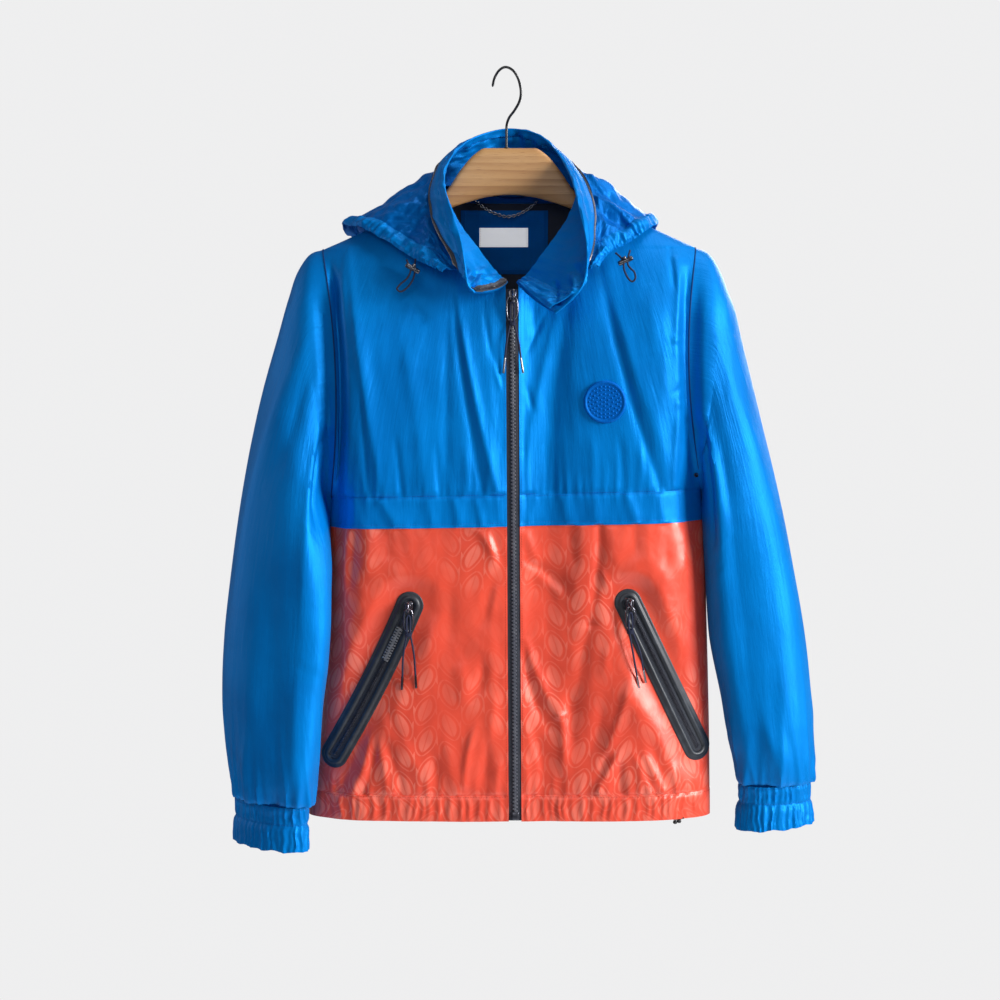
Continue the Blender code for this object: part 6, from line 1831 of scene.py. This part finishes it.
P[..., 1] = 0.3 * flat[..., 1] + 0.7 * plane_y - 0.7
out_b = unit(np.array([-(slope[1] - slope[0]) / 48, 1.0, -(vert[1] - vert[0]) / 48])) * -1
P = P + out_b * hgt[None, :, None]
Q = P - out_b * (hgt[None, :, None] + 1.4)
shell("shell_badge", P, 2.0, "badge", closed=True, out=np.array([0, -1.0, 0]), inner=Q,
      uv=np.stack([grid_x, grid_z], -1) / 100.0, replaces=("badge",))
studs = []
rng = np.random.default_rng(77)
for ring_r, count in ((0.0, 1), (4.6, 6), (9.2, 12), (13.8, 18), (17.6, 24)):
    for i in range(count):
        a = 2 * math.pi * (i + 0.25 * (count % 4)) / count
        px, pz = ring_r * math.cos(a), ring_r * math.sin(a)
        c = np.array([P[:, 6, 0].mean() + px, 0, P[:, 6, 2].mean() + pz])
        near = np.argmin(np.hypot(P[..., 0] - c[0], P[..., 2] - c[2]))
        c[1] = P.reshape(-1, 3)[near, 1]
        a8 = np.linspace(0, 2 * np.pi, 12, endpoint=False)
        levels = [c + out_b * h2 + rr2 * (np.cos(a8)[:, None] * X3 + np.sin(a8)[:, None] * Z3)
                  for h2, rr2 in ((-0.4, 1.2), (0.25, 1.15), (0.6, 0.85), (0.75, 0.35))]
        studs.append(outward(loft(levels)))
j = joined(studs)
add_piece("badge_studs", j[0], j[1], "badge", sharp=60.0)

# eyelet by the wearer's left side seam
c = front_at(211.5, -465.0)
en = unit(np.array([0.55, -1.0, 0]))
g2 = np.linspace(0, 2 * np.pi, 28, endpoint=False)
eb = unit(np.cross(Z3, en))
eye = np.array([c + en * 0.5 + 2.1 * (math.cos(q) * eb + math.sin(q) * Z3) for q in g2])
j = joined([outward(tube_mesh(eye, 0.75, 8, closed=True)),
            outward(loft([c + en * h2 + 1.9 * (np.cos(g2)[:, None] * eb + np.sin(g2)[:, None] * Z3) for h2 in (0.1, 0.35)]))])
add_piece("eyelet_side", j[0], j[1], "wire", sharp=50.0)

# ---------------------------------------------------------------- cord locks of the hood
LOCKS = {"rt": ((-112.0, -74.0, -229.5), -30.0), "lt": ((128.0, -66.0, -220.5), 24.0)}
LOOPS = {
    "rt": [(-2.0, 0, -1.2), (-3.2, -0.5, -6), (-7, -1, -12), (-14, -2, -18), (-17.5, -2, -23), (-13, -2, -26),
           (-6.5, -1.5, -22), (-0.5, -1, -14), (2.0, 0, -6.6), (2.4, 0, -1.2)],
    "lt": [(-2.0, 0, -1.2), (-2.0, -0.5, -6.4), (-1, -1, -12), (3, -2, -20), (7.5, -2, -23.5), (11, -2, -20),
           (10, -1.5, -13), (6, -1, -9), (3.0, -0.5, -5.0), (2.4, 0, -1.2)],
}
STUBS = {
    "rt": [[(-3.5, 0, 0), (-4.5, 1.5, 4), (-7, 3.5, 10)], [(2.5, 0, 0), (2.5, 1.5, 5), (3, 3.5, 11)]],
    "lt": [[(-2.5, 0, 0), (-6, 1.0, 4.5), (-11, 3.5, 9)], [(2.5, 0, 0), (3.5, 1.0, 6), (5.5, 3.5, 12)]],
}
for side in SIDES:
    c, tilt = LOCKS[side]
    c = np.array(c)
    d = np.array([math.cos(math.radians(tilt)), 0, math.sin(math.radians(tilt))])
    u2 = np.array([-d[2], 0, d[0]])
    out2 = np.array([0, -1.0, 0])
    prof = [(-9.0, 1.5), (-8.6, 2.4), (-7.8, 2.9), (-3.4, 3.0), (-3.0, 2.6), (3.0, 2.6), (3.4, 3.0), (7.8, 2.9), (8.6, 2.4),
            (9.0, 1.5)]
    g3 = np.linspace(0, 2 * np.pi, 24, endpoint=False)
    bar = outward(loft([c + d * a + b * (np.cos(g3)[:, None] * u2 + np.sin(g3)[:, None] * out2) for a, b in prof]))
    button = plate(c + u2 * 2.2, d, out2, u2, 5.0, 5.0, [(0, 1.0), (2.4, 1.0), (3.0, 0.8)], 2.4)
    j = joined([bar, button])
    add_piece("shell_cord_lock_" + side, j[0], j[1], "gunmetal", replaces=("cord_lock_" + side,), sharp=38.0)
    path = smooth_route([c + np.array(q, float) for q in LOOPS[side]], 70)
    v, f, u = outward(tube_mesh(path, CORD / 2, 12))
    loop = add_piece("shell_cord_loop_" + side, v, f, "cord", None, u, replaces=("cord_loop_" + side,))
    tuple(to_world(path[0]))
    polyline(path) * MM
    [tuple(q) for q in to_world(path)]
    stubs = [outward(tube_mesh(smooth_route([c + np.array(q, float) for q in st], 16), CORD / 2, 12)) for st in STUBS[side]]
    j = joined(stubs)
    add_piece("cord_stub_" + side, j[0], j[1], "cord", None, j[2])

# hem cord end: a cord with two small balls
h0 = front_at(190.0, -856.0)
balls = []
for bx, bz, br in ((186.5, -861.2, 2.5), (191.0, -860.0, 2.6)):
    lv = []
    for e2 in np.linspace(-1, 1, 9)[1:-1]:
        rr2 = br * math.sqrt(1 - e2 * e2)
        lv.append(np.array([bx, h0[1] + 3.0, bz]) + Z3 * br * e2
                  + rr2 * (np.cos(g3)[:, None] * X3 + np.sin(g3)[:, None] * np.array([0, 1.0, 0])))
    balls.append(outward(loft(lv)))
bar = outward(tube_mesh(np.array([[182.0, h0[1] + 3.0, -856.6], [186, h0[1] + 2.6, -857.6], [191, h0[1] + 2.6, -857.4],
                                  [196.5, h0[1] + 3.0, -856.2]]), 1.1, 10))
j = joined(balls + [bar])
add_piece("shell_hem_cord_end", j[0], j[1], "wire", replaces=("hem_cord_end",), sharp=60.0)

# ---------------------------------------------------------------- collar trims


def collar_face(t, v, out, inside=False):
    """A place over the collar's outer (or inner) face, folds included."""
    t, v = np.broadcast_arrays(np.asarray(t, float), np.asarray(v, float))
    if inside:
        return collar_point(t, v, -COLLAR_THICK - collar_relief(t, v, True) - np.asarray(out, float))
    return collar_point(t, v, collar_relief(t, v, False) + 0.2 + np.asarray(out, float))


# hood zip round the outside
t = np.linspace(0.125, 0.875, 520)
vz = zip_v(t)
vv = np.array([-0.095, -0.08, -0.05, 0.0, 0.05, 0.08, 0.095])
V = vz[:, None] + vv[None, :]
P = collar_face(t[:, None], V, np.array([-0.3, 1.0, 1.2, 1.25, 1.2, 1.0, -0.3])[None, :] + 0 * V)
outer_dir = collar_point(t[:, None], V, 1.0 + 0 * V) - collar_point(t[:, None], V)
shell("shell_hood_zip", P, 1.0, "ziptape", out=outer_dir, replaces=("hood_zip",))
mid = collar_face(t, vz, 1.25 + 0 * t)
rows = [tooth_row(mid, outer_dir[:, 3], sd, 2.2, 0.5 + (1.1 if sd > 0 else 0), 2.0, 0.7, 1.15, -0.1, 1.05) for sd in (1, -1)]
j = joined(rows)
add_piece("zip_teeth_hood", j[0], j[1], "teeth_mid", sharp=30.0)
for k, dv in (("a", -0.12), ("b", 0.125)):
    stitches("stitch_hood_zip_" + k, collar_face(t, vz + dv, 0 * t), outer_dir[:, 3], 2.9, 2.1, 0.24)
# collar's seam and rim rows
t = np.linspace(0.004, 0.996, 500)
out_seam = collar_point(t, 0 * t + 0.1, 1.0) - collar_point(t, 0 * t + 0.1)
stitches("stitch_collar_seam", collar_face(t, 0 * t + 0.07, 0 * t), out_seam, 2.9, 2.1, 0.26)
stitches("stitch_collar_rim", collar_face(t, 0 * t + 0.93, 0 * t),
         collar_point(t, 0 * t + 0.93, 1.0) - collar_point(t, 0 * t + 0.93), 2.9, 2.1, 0.26)
stitches("stitch_collar_rim_in", collar_face(t, 0 * t + 0.91, 0 * t, True),
         collar_point(t, 0 * t + 0.91) - collar_point(t, 0 * t + 0.91, 1.0), 2.9, 2.1, 0.26)

# zip end on the collar's right front
t = np.array([0.001, 0.006, 0.014, 0.024, 0.034])
v = np.linspace(0.06, 0.985, 60)
lift = np.array([1.6, 2.0, 2.0, 1.8, 0.2])
P = collar_face(t[:, None], v[None, :], lift[:, None] + 0 * v[None, :], True)
inner_dir = collar_point(t[:, None], v[None, :]) - collar_point(t[:, None], v[None, :], 1.0)
shell("shell_collar_zip_rt", P, 0.9, "ziptape", out=inner_dir, replaces=("collar_zip_rt",))
path = P[1]
rows = [tooth_row(path, inner_dir[1], sd, 2.6, 0.8, 3.2, 0.4, 1.45, -0.3, 1.5) for sd in (1,)]
j = joined(rows)
add_piece("zip_teeth_collar", j[0], j[1], "teeth_mid", sharp=30.0)

# zip guard on the collar's left front
t = np.linspace(0.934, 0.9985, 34)
v = np.linspace(0.04, 0.99, 56)
edge2 = np.minimum(smooth((t - 0.934) / 0.006), smooth((0.9985 - t) / 0.002))[:, None]
tilt = 9.0 * (np.clip(t - 0.934, 0, 1) / 0.0645)[:, None] * smooth(v / 0.20)[None, :]
P = collar_face(t[:, None], v[None, :], 0.25 + 1.2 * edge2 + tilt + 0.5 * noise(v * 5, v * 0, 73)[None, :], True)
inner_dir = collar_point(t[:, None], v[None, :]) - collar_point(t[:, None], v[None, :], 1.0)
shell("shell_collar_guard_lt", P, 1.1, ("blue", "blue"), out=inner_dir, replaces=("collar_guard_lt",))
for k, row in ((5, "a"), (28, "b")):
    stitches("stitch_guard_" + row, P[k], inner_dir[k], 2.9, 2.1, 0.28)
stitches("stitch_guard_c", P[:, 50], inner_dir[:, 50], 2.9, 2.1, 0.28)

# ---------------------------------------------------------------- inside the neck


def inner_patch(x0, x1, z0, z1, nx, nz, depth, seed, amp):
    x = np.linspace(x0, x1, nx)[:, None]
    z = np.linspace(z0, z1, nz)[None, :]
    P = np.where((x < 0)[..., None], body("rt", "B", x, z, None), body("lt", "B", x, z, None))
    w = amp * (noise(x / 15, z / 26, seed) + 0.5 * noise(x / 6, z / 14, seed + 1))
    P[..., 1] -= depth + w
    return P


INNER = np.array([0, -1.0, 0])
P = inner_patch(-74, 70, -149, -266, 50, 40, 5.0, 81, 0.5)
shell("shell_neck_lining", P, 0.7, "lining", out=INNER, replaces=("neck_lining",))
P = inner_patch(-60, 43, -157, -232, 56, 42, 6.9, 83, 0.55)
P[..., 1] += 1.0 * np.maximum(1 - smooth(np.minimum(np.arange(56), 55 - np.arange(56)) / 3.0)[:, None],
                              1 - smooth(np.minimum(np.arange(42), 41 - np.arange(42)) / 3.0)[None, :])
shell("shell_neck_facing", P, 0.7, "facing", out=INNER, replaces=("neck_facing",))
FACING = P
for k, line in (("a", P[3]), ("b", P[-4]), ("c", P[:, -4])):
    stitches("stitch_facing_" + k, line, INNER, 2.9, 2.1, 0.26)
x = np.linspace(-38, 19.4, 44)[:, None]
z = np.linspace(-177.5, -200, 20)[None, :]
P = np.where((x < 0)[..., None], body("rt", "B", x, z, None), body("lt", "B", x, z, None))
P[..., 1] -= 8.7 + 0.25 * noise(x / 12, z / 9, 85)
shell("shell_neck_label", P, 0.8, "label", out=INNER, replaces=("neck_label",))
for k, line in (("a", P[1]), ("b", P[-2])):
    stitches("stitch_label_" + k, line, INNER, 2.6, 1.9, 0.26, "thread_dark")

# chain loop of round links
chain = [(-43, 35.5, -146), (-36, 35, -151.5), (-26, 34.5, -158), (-15, 34, -162.5), (-5, 34, -164.5),
         (6, 34, -162.5), (17, 34.5, -157), (25, 35, -151), (31, 35.5, -146)]
pts, run = evenly(smooth_route([np.array(q, float) for q in chain], 200), 2.9)
links = []
tan = unit(np.gradient(pts, axis=0))
for i, (c, tt) in enumerate(zip(pts, tan)):
    side_v = unit(np.cross(tt, np.array([0, 1.0, 0])))
    across2 = side_v if i % 2 else np.array([0, 1.0, 0])
    ringp = np.array([c + tt * 2.15 * math.cos(q) + across2 * 1.45 * math.sin(q)
                      for q in np.linspace(0, 2 * np.pi, 14, endpoint=False)])
    links.append(outward(tube_mesh(ringp, 0.52, 6, closed=True)))
j = joined(links)
add_piece("shell_chain_loop", j[0], j[1], "chain", replaces=("chain_loop",), sharp=80.0)

# ---------------------------------------------------------------- hanger
up_pts = sorted([(x, z) for x, z in HANGER_UP] + [(-4 - x, z) for x, z in HANGER_UP])
low_pts = sorted([(x, z) for x, z in HANGER_LOW] + [(-4 - x, z) for x, z in HANGER_LOW])
up_z, low_z = curve([p for i, p in enumerate(up_pts) if i == 0 or p[0] - up_pts[i - 1][0] > 1.0]), \
    curve([p for i, p in enumerate(low_pts) if i == 0 or p[0] - low_pts[i - 1][0] > 1.0])
xs = np.concatenate([[-225.6, -225.2, -224.4, -223.0], np.linspace(-221, 217, 230), [219.0, 220.4, 221.2, 221.6]])
levels = []
o2 = rounded(2.0, 2.0, 3.4, 40)
for x in xs:
    zu, zl = float(up_z(x)), float(low_z(x))
    e2 = min(x + 226.0, 222.0 - x)
    k2 = math.sqrt(max(0.02, 1 - (1 - min(e2 / 9.0, 1.0)) ** 2))
    mid_z, half_z = (zu + zl) / 2, abs(zu - zl) / 2 * k2
    ring3 = np.stack([np.full(40, x), 6.0 * k2 * o2[:, 0], mid_z + half_z * o2[:, 1]], -1)
    levels.append(ring3)
v, f, u = outward(loft(levels))
add_piece("shell_hanger_wood", v, f, "wood", replaces=("hanger_wood",), sharp=40.0)
HOOK = [(0, -92), (0, -70), (0.4, -60), (5, -52), (15, -44.5), (23.5, -36), (27, -27.5),
        (26, -18), (21, -7), (11.5, 2.5), (-2, 7.5), (-14, 5), (-23, -3), (-27, -13)]
PLANE = np.array([0.608, -0.794])
hook = through([np.array(q, float) for q in HOOK], np.linspace(0, 1, 150))
path = np.stack([-6.1 + PLANE[0] * hook[:, 0], PLANE[1] * hook[:, 0], hook[:, 1]], -1)
rad = np.full(150, 1.5)
rad[-3:] = (1.42, 1.1, 0.5)
v, f, u = outward(tube_mesh(path, rad, 20))
collar_ring = outward(tube_mesh(np.array([[-6.1 + 2.4 * math.cos(q), 2.4 * math.sin(q), -86.9]
                                          for q in np.linspace(0, 2 * np.pi, 24, endpoint=False)]), 0.9, 8, closed=True))
j = joined([(v, f, u), collar_ring])
add_piece("shell_hanger_hook", j[0], j[1], "wire", replaces=("hanger_hook",), sharp=60.0)

# ---------------------------------------------------------------- stitch rows of the body
for side in SIDES:
    s = SIGN[side]
    for face, relief in (("F", front_relief), ("B", back_relief)):
        x_in = 9.5 if face == "F" else 0.5
        n = 260
        for tag, table_z, off, mat in (("waist", WAIST_Z, 0.6, "thread_blue"), ("waist_b", WAIST_Z, -1.6, "thread_blue"),
                                       ("lap", RED_Z, 3.2, "thread_blue"),
                                       ("hem", lambda x: HEM_TOP + 0 * x, -1.4, "thread_red")):
            z0 = float(table_z(np.array(s * 200.0))) + off
            reach = float(edge_reach(side, face, np.array(z0))) - 1.2
            x = s * (x_in + (reach - x_in) * (1 - (1 - np.linspace(0, 1, n)) ** 1.12))
            z = table_z(x) + off
            lift = 0.15 + {"lap": 0.25, "hem": 0.40}.get(tag, 0.0)
            path = body(side, face, x, z, relief) + FACE_OUT[face] * lift
            N = unit(np.gradient(path, axis=0))
            outn = unit(np.cross(N, Z3)) * (1 if face == "F" else -1) * s
            if np.sum(outn * FACE_OUT[face]) < 0:
                outn = -outn
            stitches("stitch_%s_%s_%s" % (tag, face, side), path, outn, 3.0, 2.2, 0.26, mat)

# the armhole seams: a dark navy tube along each, the seam line and painted shadow for the crease between body and
# sleeve
for side in SIDES:
    loop = arm_ring(side, 220) + np.array([-0.15 * SIGN[side], 0, 0])
    add_piece("stitch_armhole_seam_" + side, *outward(tube_mesh(loop, 0.85, 8, closed=True))[:2], "seam", sharp=80.0)

# ---------------------------------------------------------------- finish
bpy.context.view_layer.update()
